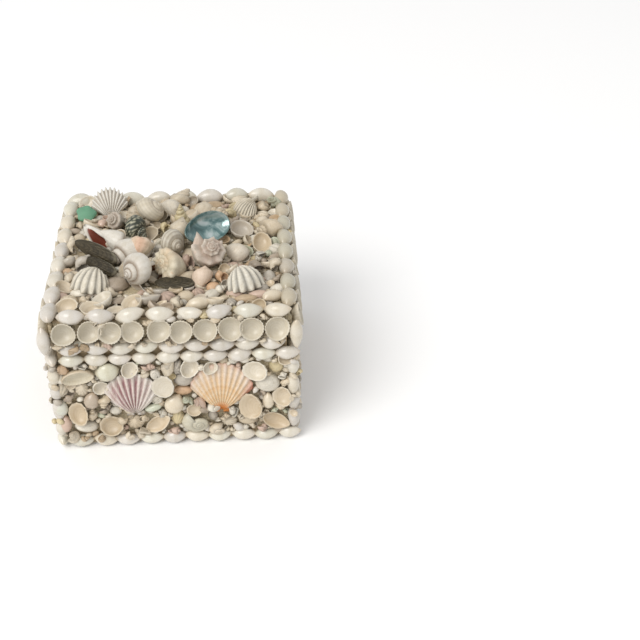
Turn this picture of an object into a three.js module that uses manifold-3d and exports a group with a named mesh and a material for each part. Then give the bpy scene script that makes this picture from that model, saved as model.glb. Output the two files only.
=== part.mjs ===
// A square keepsake box with a lift-off lid, covered all over in small sea shells.
//
// Millimetres, +Z up. The origin is the middle of the underside, and the front faces -Y.
// Two hollow wooden carcasses, base and lid, meet at a rebated rim. Every outer face carries
// courses of glued shells, and a posy of larger shells, sea glass and mussel sits on the lid.

import * as THREE from "three";
import { mergeVertices } from "three/addons/utils/BufferGeometryUtils.js";
import Module from "manifold-3d";

const wasm = await Module();
wasm.setup();

// ---- Driving dimensions -------------------------------------------------------------------

const CARCASS_HALF = 91; // half the width of both wooden carcasses, outside
const WALL = 5.5;
const FLOOR = 5;
const SEAM_Z = 93.4; // the base's rim, where the lid sits
const LID_TOP_Z = 122.5;
const TONGUE_HEIGHT = 6; // the inner half of the base's wall rises this far into the lid
const TONGUE_WALL = 2.5;
const GAP = 0.3; // clearance between neighbouring pieces

const COURSE_OUT = 96; // distance of the side courses' centre line from the middle of the box
const CREST_OUT = 93.5; // the same for the course that edges the lid's top
const COWRIE_RADIUS = 4.7;
const CREST_RADIUS = 5.2;

const FOOT_Z = 6.2; // heights of the courses' centre lines
const BASE_CREST_Z = 88.3;
const LID_FOOT_Z = 98.9;
const CUPS_Z = 113.3;
const CREST_Z = 127.9;

const CUP_RADIUS = 9.6;
const CUP_DEPTH = 10.4;
const CORNER_OUT = 95.3; // the upright cowries at the corners
const CORNER_LENGTH = 27;
const CORNER_Z = 108.6;
const BED = 1.1; // thickness of the glue bed under the scattered shells
const SUNK = 0.4; // how far a shell sits in its bed
const TOUCH = 0.9; // how far the corner cowries press into each other

const SIDES = ["front", "right", "back", "left"]; // each a quarter turn on from the last
const DEGREE = Math.PI / 180;
const QUARTER = Math.PI / 2;

// ---- Colours ------------------------------------------------------------------------------

const material = (color, roughness = 0.45, metalness = 0) =>
  new THREE.MeshStandardMaterial({ color, roughness, metalness });
const WOOD = material(0xb89468, 0.8);
const WHITE_SHELL = material(0xf0ebe0, 0.25);
const CREAM_SHELL = material(0xe6dcc8, 0.5);
const MIXED_SHELL = material(0xddd3bf, 0.5);
const PINK_SCALLOP = material(0xd8a7a5, 0.5);
const ORANGE_SCALLOP = material(0xe6b98c, 0.5);
const WHELK = material(0xe3d8cc, 0.4);
const PINK_WHELK = material(0xd9b09a, 0.5);
const MOTTLED = material(0x3a3b30, 0.4);
const ABALONE = material(0x6fa3a8, 0.2, 0.4);
const MUSSEL = material(0x56533f, 0.35);
const SEA_GLASS = material(0x5fae86, 0.5);

// ---- Solids -------------------------------------------------------------------------------

function solidOf(geometry) {
  const bare = geometry.clone();
  bare.deleteAttribute("normal");
  bare.deleteAttribute("uv");
  const merged = mergeVertices(bare, 1e-4);
  const corners = Array.from(merged.index.array);
  const triVerts = [];
  for (let i = 0; i < corners.length; i += 3) {
    const [a, b, c] = corners.slice(i, i + 3);
    if (a !== b && b !== c && c !== a) triVerts.push(a, b, c);
  }
  return new wasm.Manifold(
    new wasm.Mesh({
      numProp: 3,
      vertProperties: merged.attributes.position.array,
      triVerts: new Uint32Array(triVerts),
    }),
  );
}

function geometryOf(solid) {
  const { numProp, vertProperties, triVerts } = solid.getMesh();
  const positions = new Float32Array((vertProperties.length / numProp) * 3);
  for (let i = 0; i < positions.length / 3; i++) {
    positions.set(vertProperties.subarray(i * numProp, i * numProp + 3), i * 3);
  }
  const geometry = new THREE.BufferGeometry();
  geometry.setAttribute("position", new THREE.BufferAttribute(positions, 3));
  geometry.setIndex(new THREE.BufferAttribute(triVerts, 1));
  return geometry;
}

function join(geometries) {
  return geometryOf(geometries.map(solidOf).reduce((whole, piece) => whole.add(piece)));
}

// A box from its lowest and highest corners.
function block(low, high) {
  const size = high.map((value, axis) => value - low[axis]);
  const middle = high.map((value, axis) => (value + low[axis]) / 2);
  return new THREE.BoxGeometry(...size).translate(...middle);
}

// A profile of [radius, height] pairs turned about Z.
function turned(profile, sides) {
  const points = profile.map(([radius, height]) => new THREE.Vector2(radius, height));
  return new THREE.LatheGeometry(points, sides).rotateX(Math.PI / 2);
}

// Moves every vertex of a geometry by a rule (x, y, z) -> [x, y, z].
function shaped(geometry, rule) {
  const position = geometry.attributes.position;
  for (let i = 0; i < position.count; i++) {
    position.setXYZ(i, ...rule(position.getX(i), position.getY(i), position.getZ(i)));
  }
  return geometry;
}

// ---- Shells, each lying on the plane z = 0 with its outer face towards +Z -------------------

// An ovoid of white cowrie, pointed at both ends along X.
function cowrie(length, width, height, sides = 6) {
  const bead = turned([[0, -1], [0.94, -0.45], [1, 0.4], [0, 1]], sides);
  return shaped(bead.rotateY(Math.PI / 2), (x, y, z) => [
    (x * length) / 2,
    (y * width) / 2,
    ((z + 1) * height) / 2,
  ]);
}

// A valve lying hollow side down, its hinge towards -X.
function valve(length, width, height, sides = 7) {
  const dome = turned([[0, 0], [1, 0], [0.72, 0.62], [0, 1]], sides);
  return shaped(dome, (x, y, z) => [
    (x * length) / 2 - z * length * 0.14,
    (y * width * (1 + 0.18 * x)) / 2,
    z * height,
  ]);
}

// A valve lying hollow side up, so that its bowl shows.
function cup(length, width, depth, sides = 7) {
  const bowl = turned([[0, 0], [0.6, 0], [1, 1], [0, 0.3]], sides);
  return shaped(bowl, (x, y, z) => [(x * length) / 2, (y * width) / 2, z * depth]);
}

// A small spired shell lying on its side, spire towards +X.
function conch(length, width, sides = 5) {
  const profile = [[0, -0.5], [0.5, -0.08], [0, 0.5]];
  return turned(profile, sides).rotateY(Math.PI / 2).scale(length, width, width)
    .translate(0, 0, width * 0.42);
}

// A fan of ribs lying hollow side down, its hinge at the origin and its margin towards +Y.
// The turned sectors are gathered into the fan, and the last one is drawn in behind the hinge.
function scallop(length, width, height, ribs) {
  const sectors = 2 * ribs + 2;
  const half = sectors / 2;
  const spread = 58 * DEGREE;
  const dome = turned([[0, 0], [1, 0], [0.62, 1], [0, 0.5]], sectors);
  return shaped(dome, (x, y, z) => {
    const step = Math.round((Math.atan2(x, y) / Math.PI) * half);
    const reach = Math.hypot(x, y);
    if (Math.abs(step) === half) return [0, -0.07 * length * reach, z * height * 0.5];
    const angle = (spread * step) / (half - 1);
    const ridge = step % 2 ? -1 : 1;
    const out = reach * (1 - 0.16 * (angle / spread) ** 2 + 0.02 * ridge);
    return [
      (out * Math.sin(angle) * width) / (2 * 0.84 * Math.sin(spread)),
      out * Math.cos(angle) * length,
      z * height * (0.94 + 0.07 * ridge),
    ];
  });
}

// A humped ark shell with strong ribs, hollow side down, hinge towards -Y.
function ark(length, width, height, ribs) {
  const sectors = 2 * ribs;
  const sector = (2 * Math.PI) / sectors;
  const dome = turned([[0, 0], [1, 0], [0.86, 0.55], [0.4, 1], [0, 0.96]], sectors);
  return shaped(dome, (x, y, z) => {
    const around = Math.atan2(x, y);
    const ribbed = 1 + 0.055 * Math.cos((around / sector) * Math.PI);
    return [
      (x * ribbed * width) / 2,
      (y * ribbed * length) / 2 - z * length * 0.17,
      z * height,
    ];
  });
}

// A coiled shell. The suture and the shoulder are two helices that shrink towards the apex:
// the whorls are the strips between them, and the last turn closes over its belly on to the
// canal's tip. The axis is Z, with the apex at the top and the tip at z = 0, and the coil is
// right-handed, as in nearly every kind.
function whorled({ length, radius, turns, growth, spire, knobs = 0, sides = 8 }) {
  const steps = Math.round(turns * sides);
  const scaleAt = (m) => growth ** ((m - steps) / sides);
  const ring = (m, reach, drop) => {
    const angle = (2 * Math.PI * m) / sides;
    const size = scaleAt(m);
    return [
      reach * radius * size * Math.cos(angle),
      -reach * radius * size * Math.sin(angle),
      length - drop * size,
    ];
  };
  const suture = (m) => ring(m, 0.93 / growth, spire);
  const shoulder = (m) => ring(m, m % 2 ? 1 : 1 + knobs, spire * (1 + (growth - 1) * 0.55));
  const belly = (m) => {
    const [x, y, z] = shoulder(m);
    return [x * 0.8, y * 0.8, z * 0.48];
  };
  const apex = [0, 0, length];
  const tip = [0, 0, 0];
  const positions = [];
  const triangle = (a, b, c) => positions.push(...a, ...c, ...b);
  const quad = (a, b, c, d) => {
    triangle(a, b, c);
    triangle(a, c, d);
  };
  for (let m = 0; m < steps; m++) {
    quad(suture(m), shoulder(m), shoulder(m + 1), suture(m + 1));
    if (m < sides) triangle(apex, suture(m), suture(m + 1));
    if (m < steps - sides) {
      quad(shoulder(m), suture(m + sides), suture(m + sides + 1), shoulder(m + 1));
    } else {
      quad(shoulder(m), belly(m), belly(m + 1), shoulder(m + 1));
      triangle(belly(m), tip, belly(m + 1));
    }
  }
  quad(apex, suture(sides), shoulder(0), suture(0));
  const back = steps - sides; // one turn behind the lip: these two close the mouth
  quad(shoulder(back), suture(steps), shoulder(steps), belly(steps));
  quad(shoulder(back), belly(steps), tip, belly(back));
  const geometry = new THREE.BufferGeometry();
  geometry.setAttribute("position", new THREE.Float32BufferAttribute(positions, 3));
  return mergeVertices(geometry, 1e-5);
}

// A long thin leaf of mussel shell, lying on z = 0 along X.
function leaf(length, width, thickness) {
  const blade = turned([[0, -1], [0.8, -0.5], [1, 0.35], [0, 1]], 6);
  return shaped(blade.rotateY(Math.PI / 2), (x, y, z) => [
    (x * length) / 2,
    (y * width) / 2,
    ((z + 1) * thickness) / 2 + (x * x - 1) * thickness * 0.1,
  ]);
}

// A worn, seven-sided tablet of glass with eased edges.
function tablet(width, thickness) {
  const profile = [[0, 0], [0.86, 0], [1, 0.5], [0.84, 1], [0, 1]];
  return shaped(turned(profile, 7), (x, y, z) => [
    (x * width) / 2,
    (y * width * (1 + 0.08 * x)) / 2,
    z * thickness,
  ]);
}

// ---- Courses ------------------------------------------------------------------------------
// Each is made for the front, where out is -Y, and turned to the other sides as a whole.

// A straight string of cowries from x0 to x1, touching end to end. Its section is a kite with
// one corner on the wood and its ridge facing out.
function cowrieString(count, x0, x1, radius) {
  const rings = 3; // to a cowrie: the joint, and two across its body
  const fullness = [0.36, 0.97, 1];
  const lean = [0, -0.14, 0.14]; // each cowrie tips a little out of line
  const slide = [0, -0.1, 0.06];
  const pitch = (x1 - x0) / count;
  const kite = new THREE.Shape([
    new THREE.Vector2(0, -1),
    new THREE.Vector2(1, -0.1),
    new THREE.Vector2(0, 1),
    new THREE.Vector2(-1, -0.1),
  ]);
  const line = new THREE.LineCurve3(new THREE.Vector3(x0, 0, 0), new THREE.Vector3(x1, 0, 0));
  const rope = new THREE.ExtrudeGeometry(kite, { steps: count * rings, extrudePath: line });
  return shaped(rope, (x, y, z) => {
    const ring = Math.round(((x - x0) / pitch) * rings) % rings;
    return [
      x + slide[ring] * pitch,
      y * fullness[ring] * radius,
      (z * fullness[ring] + lean[ring]) * radius,
    ];
  });
}

// The lid's row of cups on a strip of glue, and the upright cowrie at its right-hand corner.
function cupRow(count, x0, x1) {
  const wood = -CARCASS_HALF - GAP;
  const pitch = (x1 - x0) / count;
  const strip = block([x0, wood - BED, CUPS_Z - 8.4], [CORNER_OUT - 2, wood, CUPS_Z + 8.4]);
  const cups = Array.from({ length: count }, (_, i) => {
    const tall = i % 3 === 1 ? 0.96 : 1.02;
    return cup(pitch - 2 * GAP, 2 * CUP_RADIUS * tall, CUP_DEPTH - SUNK, 7)
      .rotateX(QUARTER)
      .translate(x0 + (i + 0.5) * pitch, wood - SUNK, CUPS_Z);
  });
  return join([strip, ...cups, uprightCowrie(CORNER_LENGTH, CORNER_Z)]);
}

// A cowrie standing at the right-hand corner.
function uprightCowrie(length, z) {
  return cowrie(length, 2 * CREST_RADIUS, 2 * CREST_RADIUS)
    .translate(0, 0, -CREST_RADIUS)
    .rotateY(QUARTER)
    .translate(CORNER_OUT, -CORNER_OUT, z);
}

// ---- Scattered shells ---------------------------------------------------------------------

// A repeatable number from 0 to 1 for any pair of numbers.
function chance(a, b) {
  const wave = Math.sin(a * 12.9898 + b * 78.233) * 43758.5453;
  return wave - Math.floor(wave);
}

const FORMS = {
  cowrie: (size) => cowrie(size, size * 0.66, size * 0.5, 5),
  valve: (size) => valve(size, size * 0.84, size * 0.42, 6),
  cup: (size) => cup(size, size * 0.92, size * 0.4, 6),
  conch: (size) => conch(size, size * 0.56, 5),
};

// The front of the base: [form, across, up, size, turn in degrees], set out by hand.
const FRONT_SHELLS = [
  ["cup", -76, 71, 25, 4], ["cowrie", -54, 75, 19, 8], ["cup", -35, 78, 13, -20],
  ["conch", -21, 78, 12, 70], ["conch", -6, 79, 12, 110], ["cup", 10, 75, 15, 0],
  ["cup", 27, 79, 11, 10], ["cup", 68, 75, 18, 35], ["valve", 84, 73, 14, -90],
  ["conch", -84, 57, 13, 60], ["valve", -72, 58, 13, -90], ["cup", -60, 60, 12, 30],
  ["valve", 2, 62, 14, -90], ["cup", -9, 57, 17, -60], ["valve", 72, 59, 17, 170],
  ["cup", 83, 48, 14, 20], ["cup", -80, 40, 17, 80], ["conch", -66, 46, 15, -80],
  ["valve", -53, 36, 10, 0], ["conch", -68, 33, 10, 90], ["valve", -2, 42, 16, 20],
  ["valve", -17, 36, 12, 40], ["conch", 12, 47, 10, 130], ["conch", 16, 35, 13, 10],
  ["cup", 61, 38, 19, 80], ["valve", 74, 41, 12, 90], ["valve", 84, 34, 12, 80],
  ["valve", -74, 21, 17, -20], ["cup", -56, 21, 17, -25], ["valve", -34, 20, 16, 85],
  ["cup", -16, 22, 18, 35], ["valve", 1, 24, 13, 120], ["valve", 17, 21, 17, 160],
  ["conch", 37, 20, 15, 60], ["valve", 51, 21, 14, 60], ["conch", 66, 21, 14, -40],
  ["cup", 81, 20, 17, -25], ["conch", -46, 29, 9, 20], ["conch", -86, 23, 12, 100],
];

// The two scallops on each side of the base: the hinge's place across, and the fan's size.
const FANS = [
  { across: -34, length: 43, width: 44, ribs: 8 },
  { across: 36, length: 48, width: 49, ribs: 8 },
];
const FAN_HINGE_Z = 30.5;
const FAN_HEIGHT = 8.5;

// Staggered courses of larger shells, for the sides that are set out by rule.
function sideShells(side) {
  const forms = ["valve", "cup", "conch", "valve", "cup"];
  const shells = [];
  for (let row = 0; row < 4; row++) {
    for (let column = 0; column < 7; column++) {
      const across = -77 + column * 24 + (row % 2) * 7 + 3 * chance(row + 7 * side, column);
      const up = 22 + row * 17.5 + 2 * chance(column, row + 11 * side);
      const form = forms[Math.floor(forms.length * chance(column + side, row * 3 + 1))];
      const size = 17 + 2 * chance(row, column);
      shells.push([form, across, up, size, 360 * chance(row + side, column + 5)]);
    }
  }
  return shells;
}

// Slides a shell straight away from any fan that it would lie on.
function clearOfFans([form, across, up, size, turn]) {
  for (const fan of FANS) {
    const middle = FAN_HINGE_Z + fan.length * 0.46;
    const reach = fan.width * 0.5 + size * 0.5;
    const distance = Math.hypot(across - fan.across, up - middle);
    if (distance < reach) {
      across = fan.across + ((across - fan.across) * reach) / distance;
      up = middle + ((up - middle) * reach) / distance;
    }
  }
  return [form, across, up, size, turn];
}

// A panel of glue with its shells, and a stack of upright cowries round the right-hand corner.
function sideMosaic(shells) {
  const low = FOOT_Z + COWRIE_RADIUS + 1.3;
  const high = BASE_CREST_Z - COWRIE_RADIUS - 1.1;
  const wood = -CARCASS_HALF - GAP;
  const bed = block([-CARCASS_HALF + 1, wood - BED, low], [CORNER_OUT - 2, wood, high]);
  const laid = shells.map(clearOfFans).filter(([, across, up, size]) => {
    const reach = size * 0.44;
    return Math.abs(across) + reach < CARCASS_HALF - 1 && up - reach > low && up + reach < high;
  });
  const scattered = laid.map(([form, across, up, size, turn]) =>
    FORMS[form](size)
      .rotateZ(turn * DEGREE)
      .rotateX(QUARTER)
      .translate(across, wood - SUNK, up),
  );
  const stacked = 3;
  const rise = (high - low) / stacked;
  const stack = Array.from({ length: stacked }, (_, i) =>
    uprightCowrie(rise + TOUCH, low + (i + 0.5) * rise),
  );
  return join([bed, ...scattered, ...stack]);
}

// ---- The posy on the lid ------------------------------------------------------------------
// [name, geometry, material, [x, y] of its middle, [tilt about X, about Y, turn about Z]]

const whelk = (length, radius) =>
  whorled({ length, radius, turns: 3, growth: 1.75, spire: length * 0.24 });
const turban = (length, radius) =>
  whorled({ length, radius, turns: 2.5, growth: 2, spire: length * 0.3 });
const knobbed = (length, radius) =>
  whorled({ length, radius, turns: 2.5, growth: 1.8, spire: length * 0.2, knobs: 0.2 });

const POSY = [
  ["ark_shell_back_left", scallop(28, 30, 11, 7), CREAM_SHELL, [-58, 71], [50, 0, 8]],
  ["ark_shell_front_left", ark(25, 30, 15, 6), CREAM_SHELL, [-65, -53], [8, 0, 168]],
  ["ark_shell_front_right", ark(25, 29, 15, 6), CREAM_SHELL, [60, -57], [8, 0, 190]],
  ["ark_shell_back_right", ark(24, 29, 13, 7), CREAM_SHELL, [59, 66], [0, 0, 115]],
  ["sea_glass", tablet(17, 5), SEA_GLASS, [-77.5, 59], [30, 0, 20]],
  ["long_whelk", whelk(44, 10), WHELK, [-64, 28], [86, 0, 62]],
  ["rough_whelk", knobbed(20, 9), PINK_WHELK, [-50, 45], [90, 0, 60]],
  ["mottled_top_shell", turban(22, 10), MOTTLED, [-31, 29], [70, 0, -20]],
  ["white_whelk", whelk(31, 14), WHELK, [-40, -7], [72, 0, -52]],
  ["round_whelk", whelk(32, 15), WHELK, [-25, -42], [88, 0, -40]],
  ["vase_shell", knobbed(30, 14), CREAM_SHELL, [0, -36], [80, 0, -28]],
  ["grooved_turban", turban(29, 14), MIXED_SHELL, [-3, 3], [62, 0, 38]],
  ["murex", knobbed(34, 15), PINK_WHELK, [29, -17], [64, 0, 14]],
  ["pink_whelk", knobbed(22, 10), PINK_WHELK, [-22, -7], [100, 0, 15]],
  ["peach_whelk", whelk(22, 10), PINK_WHELK, [26, -50], [95, 0, -16]],
  ["small_mussel", leaf(36, 10, 6), MUSSEL, [-58, -27], [40, 0, -40]],
  ["long_mussel", leaf(46, 13, 7), MUSSEL, [-62, -11], [55, 0, -40]],
  ["broad_mussel", leaf(36, 14, 5), MUSSEL, [3, -58], [0, 0, -4]],
  ["abalone", cup(44, 28, 9, 10), ABALONE, [27, 16], [50, 0, 34]],
  ["moon_shell_back", turban(28, 14), CREAM_SHELL, [-22, 53], [40, 0, 40]],
  ["moon_shell_middle", valve(26, 22, 12), CREAM_SHELL, [-4, 71], [0, 0, 100]],
  ["white_cone", valve(26, 22, 12), WHITE_SHELL, [54, -9], [0, 0, 200]],
  ["spired_shell", knobbed(22, 8), CREAM_SHELL, [6, 43], [0, 0, 0]],
  ["cream_clam", valve(22, 18, 8), CREAM_SHELL, [24, 73], [0, 0, 60]],
];

const POSY_FLOOR_Z = LID_TOP_Z + GAP + BED + GAP;

// The whole posy. Each shell goes down at its tilt on to the bed, or as low as it can lie
// among the shells that are already there.
function posy() {
  const lying = [];
  for (const [name, geometry, colour, [x, y], tilt] of POSY) {
    geometry.center();
    const mesh = named(name, geometry, colour);
    mesh.rotation.set(...tilt.map((angle) => angle * DEGREE), "ZYX");
    mesh.updateMatrixWorld(true);
    const lowest = new THREE.Box3().setFromObject(mesh, true).min.z;
    mesh.position.set(x, y, POSY_FLOOR_Z - lowest);
    while (meets(grownSolid(mesh), lying)) mesh.position.z += 0.5;
    lying.push(mesh);
    mesh.userData.solid = placedSolid(mesh);
  }
  return lying;
}

const meets = (solid, lying) =>
  lying.some((mesh) => !solid.intersect(mesh.userData.solid).isEmpty());

function placedSolid(mesh) {
  mesh.updateMatrixWorld(true);
  return solidOf(mesh.geometry.clone().applyMatrix4(mesh.matrixWorld));
}

// The solid with a little room round it, for keeping neighbours apart.
function grownSolid(mesh) {
  mesh.scale.setScalar(1.03);
  const solid = placedSolid(mesh);
  mesh.scale.setScalar(1);
  return solid;
}

// The bed on the lid's top with its carpet of small shells, wherever the posy leaves room.
function lidMosaic(lying) {
  const half = CREST_OUT - CREST_RADIUS - 2 * GAP;
  const wood = LID_TOP_Z + GAP;
  const bed = block([-half, -half, wood], [half, half, wood + BED]);
  const pitch = 19;
  const forms = ["valve", "cup", "conch", "valve", "cup"];
  const carpet = [bed];
  for (let row = -4; row <= 4; row++) {
    for (let column = -4; column <= 4; column++) {
      const x = column * pitch + 4 * (chance(row, column) - 0.5);
      const y = row * pitch + 4 * (chance(column, row) - 0.5);
      const size = 16 + 2 * chance(row + 3, column);
      const form = forms[Math.floor(forms.length * chance(column, row + 9))];
      const turn = 2 * Math.PI * chance(row, column + 4);
      const place = (scale) =>
        FORMS[form](size * scale).rotateZ(turn).translate(x, y, wood + SUNK);
      if (!meets(solidOf(place(1.06)), lying)) carpet.push(place(1));
    }
  }
  return join(carpet);
}

// ---- Carcasses ----------------------------------------------------------------------------

const square = (half, low, high) => block([-half, -half, low], [half, half, high]);

function baseCarcass() {
  const inner = CARCASS_HALF - WALL;
  const rim = SEAM_Z + TONGUE_HEIGHT;
  const body = solidOf(square(CARCASS_HALF, 0, SEAM_Z));
  const tongue = solidOf(square(inner + TONGUE_WALL, SEAM_Z - 1, rim));
  return geometryOf(body.add(tongue).subtract(solidOf(square(inner, FLOOR, rim + 1))));
}

function lidCarcass() {
  const inner = CARCASS_HALF - WALL;
  const low = SEAM_Z + GAP;
  const rebateTop = SEAM_Z + TONGUE_HEIGHT + GAP + 0.2;
  const body = solidOf(square(CARCASS_HALF, low, LID_TOP_Z));
  const hollow = solidOf(square(inner, low - 1, LID_TOP_Z - FLOOR));
  const rebate = solidOf(square(inner + TONGUE_WALL + 0.4, low - 1, rebateTop));
  return geometryOf(body.subtract(hollow).subtract(rebate));
}

// ---- Assembly -----------------------------------------------------------------------------

function named(name, geometry, colour) {
  const mesh = new THREE.Mesh(geometry, colour);
  mesh.name = name;
  return mesh;
}

// Everything that one side carries, built for the front.
function sideShellwork(side, name) {
  const group = new THREE.Group();
  const add = (title, geometry, colour, y = 0, z = 0) => {
    const mesh = named(`${title}_${name}`, geometry, colour);
    mesh.position.set(0, y, z);
    group.add(mesh);
  };
  const inside = CARCASS_HALF - 1.6; // where a course starts, beside its left-hand neighbour
  const outside = COURSE_OUT + COWRIE_RADIUS; // where it ends, past the right-hand corner
  const course = (count, x1 = outside) => cowrieString(count, -inside, x1, COWRIE_RADIUS);
  add("base_foot", course(10), WHITE_SHELL, -COURSE_OUT, FOOT_Z);
  add("base_crest", course(10), WHITE_SHELL, -COURSE_OUT, BASE_CREST_Z);
  add("lid_foot", course(9, inside), WHITE_SHELL, -COURSE_OUT, LID_FOOT_Z);
  add("lid_cups", cupRow(10, -inside, inside), CREAM_SHELL);
  const crest = cowrieString(
    8, -CREST_OUT + CREST_RADIUS + 2 * GAP, CREST_OUT + CREST_RADIUS, CREST_RADIUS,
  );
  add("lid_crest", crest.rotateX(-QUARTER), WHITE_SHELL, -CREST_OUT, CREST_Z);

  const shells = side === 0 ? FRONT_SHELLS : sideShells(side);
  add("base_mosaic", sideMosaic(shells), MIXED_SHELL);
  FANS.forEach((fan, i) => {
    const shell = scallop(fan.length, fan.width, FAN_HEIGHT, fan.ribs).rotateX(QUARTER);
    const title = ["scallop_left", "scallop_right"][i];
    const mesh = named(`${title}_${name}`, shell, [PINK_SCALLOP, ORANGE_SCALLOP][i]);
    mesh.position.set(fan.across, -CARCASS_HALF - 2 * GAP - BED, FAN_HINGE_Z);
    group.add(mesh);
  });
  group.rotation.z = side * QUARTER;
  return group;
}

const shellBox = new THREE.Group();
shellBox.add(named("base_carcass", baseCarcass(), WOOD));
shellBox.add(named("lid_carcass", lidCarcass(), WOOD));
SIDES.forEach((name, side) => shellBox.add(sideShellwork(side, name)));
const lying = posy();
shellBox.add(named("lid_mosaic", lidMosaic(lying), MIXED_SHELL));
shellBox.add(...lying);

export default shellBox;
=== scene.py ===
"""A square keepsake box covered in sea shells, with a posy of larger shells on its lid.

Shapes are worked out in millimetres with numpy, in the CAD model's own frame, and go into
Blender in metres. Every shell is a closed mesh, and the hollow ones have a thickness.
"""

import math

import bpy
import numpy as np
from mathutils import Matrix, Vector

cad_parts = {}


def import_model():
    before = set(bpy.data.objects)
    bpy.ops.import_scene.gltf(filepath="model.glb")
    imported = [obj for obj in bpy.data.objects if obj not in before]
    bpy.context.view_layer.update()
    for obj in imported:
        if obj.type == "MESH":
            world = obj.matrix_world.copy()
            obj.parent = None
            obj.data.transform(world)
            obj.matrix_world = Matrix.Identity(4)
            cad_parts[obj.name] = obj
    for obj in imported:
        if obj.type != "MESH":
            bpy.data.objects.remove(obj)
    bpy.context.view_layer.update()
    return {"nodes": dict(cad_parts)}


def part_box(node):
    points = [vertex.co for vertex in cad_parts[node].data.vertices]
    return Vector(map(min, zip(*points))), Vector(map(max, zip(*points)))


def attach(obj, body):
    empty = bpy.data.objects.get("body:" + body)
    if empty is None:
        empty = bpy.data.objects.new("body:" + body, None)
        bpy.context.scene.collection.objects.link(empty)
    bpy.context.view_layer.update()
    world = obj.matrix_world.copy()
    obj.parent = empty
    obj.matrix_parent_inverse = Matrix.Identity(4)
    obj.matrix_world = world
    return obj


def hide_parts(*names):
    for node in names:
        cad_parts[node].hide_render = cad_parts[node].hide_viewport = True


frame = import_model()

MM = 0.001
TAU = 2 * math.pi
QUARTER = math.pi / 2

# ---- Camera ----

CAMERA_AHEAD = (0.0539, 0.8208, -0.5687)


def add_object(name, data):
    made = bpy.data.objects.new(name, data)
    bpy.context.scene.collection.objects.link(made)
    return made


def look_along(thing, place, ahead):
    """Puts a camera or a light in its place, looking ahead."""
    thing.location = place
    thing.rotation_mode = "QUATERNION"
    thing.rotation_quaternion = Vector(ahead).to_track_quat("-Z", "Y")


def make_camera():
    data = bpy.data.cameras.new("camera")
    data.sensor_width, data.lens = 36, 66.07
    camera = add_object("camera", data)
    look_along(camera, (0.0675, -0.852, 0.6423), CAMERA_AHEAD)
    bpy.context.scene.camera = camera


make_camera()

# ---- Chance and turns ----

rng = np.random.default_rng(11)


def chance(a, b):
    """A repeatable number from 0 to 1 for any pair of numbers, as the CAD model has it."""
    wave = math.sin(a * 12.9898 + b * 78.233) * 43758.5453
    return wave - math.floor(wave)


def turn_x(angle):
    c, s = math.cos(angle), math.sin(angle)
    return np.array([[1, 0, 0], [0, c, -s], [0, s, c]])


def turn_y(angle):
    c, s = math.cos(angle), math.sin(angle)
    return np.array([[c, 0, s], [0, 1, 0], [-s, 0, c]])


def turn_z(angle):
    c, s = math.cos(angle), math.sin(angle)
    return np.array([[c, -s, 0], [s, c, 0], [0, 0, 1]])


OUTWARD = turn_x(QUARTER)  # lays a shape that faces +Z against the front, facing -Y


def tilt(amount):
    """A small tip in a random direction, with amount in degrees as its spread."""
    a, b = np.radians(rng.normal(0, amount, 2))
    return turn_x(a) @ turn_y(b)


def seen(right, up, near):
    """A direction given as somebody standing in front of the box sees it."""
    ahead = np.array(CAMERA_AHEAD)
    rightward = np.cross(ahead, [0, 0, 1])
    rightward /= np.linalg.norm(rightward)
    return right * rightward + up * np.cross(rightward, ahead) - near * ahead


def aimed(axis, place):
    """Turns a coiled shell: its apex points along axis and its mouth is on the side of place."""
    z = axis / np.linalg.norm(axis)
    side = place - (place @ z) * z
    side /= np.linalg.norm(side)
    y = -np.cross(side, z)
    return np.column_stack([np.cross(y, z), y, z])


# ---- Colours, linear as shaders take them ----


def rgb(*values):
    return np.array(values, float)


def mix(a, b, amount):
    """Colours from a to b, one for each amount from 0 to 1."""
    return a + (b - a) * amount[..., None]


WHITE = rgb(0.71, 0.665, 0.575)
CREAM = rgb(0.63, 0.535, 0.40)
IVORY = rgb(0.68, 0.60, 0.475)
SAND = rgb(0.50, 0.38, 0.25)
TAN = rgb(0.58, 0.42, 0.28)
BLUSH = rgb(0.60, 0.45, 0.365)
PEACH = rgb(0.64, 0.43, 0.27)
PALE_GREEN = rgb(0.55, 0.56, 0.43)
GREY = rgb(0.52, 0.475, 0.41)
TAUPE = rgb(0.45, 0.375, 0.295)
YELLOW = rgb(0.66, 0.56, 0.35)
SHELL_TONES = [WHITE, CREAM, IVORY, GREY, BLUSH, SAND, PALE_GREEN, YELLOW, TAUPE, TAN]
SHELL_ODDS = np.array([6, 7, 9, 3.5, 1.3, 1.3, 0.7, 1.0, 2.0, 0.3])
GLOSSY_TONES = [
    rgb(0.655, 0.615, 0.535), rgb(0.63, 0.59, 0.53), rgb(0.625, 0.60, 0.515), rgb(0.645, 0.59, 0.49),
    rgb(0.60, 0.565, 0.515),
]


def any_tone(spread=0.05):
    base = SHELL_TONES[rng.choice(len(SHELL_TONES), p=SHELL_ODDS / SHELL_ODDS.sum())]
    return np.clip(base * (1 + rng.normal(0, spread)), 0.02, 0.92)


def even_tone():
    return any_tone(0.03)


def glossy_tone():
    return GLOSSY_TONES[rng.integers(len(GLOSSY_TONES))] * rng.uniform(0.93, 1.04)


# ---- Shapes ----


class Shape:
    """Vertices in millimetres, quads and triangles, and a colour and a growth for each vertex.

    growth holds how far along the shell's growth a vertex is, and how far round it.
    """

    def __init__(self, verts, quads, tris, tone, growth):
        self.verts, self.quads, self.tris = verts, quads, tris
        self.tone, self.growth = tone, growth

    def moved(self, turn=None, by=(0, 0, 0), scale=1.0):
        verts = self.verts * np.asarray(scale, float)
        if turn is not None:
            verts = verts @ turn.T
        return Shape(verts + np.array(by), self.quads, self.tris, self.tone, self.growth)

    def box(self):
        return self.verts.min(0), self.verts.max(0)


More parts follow.
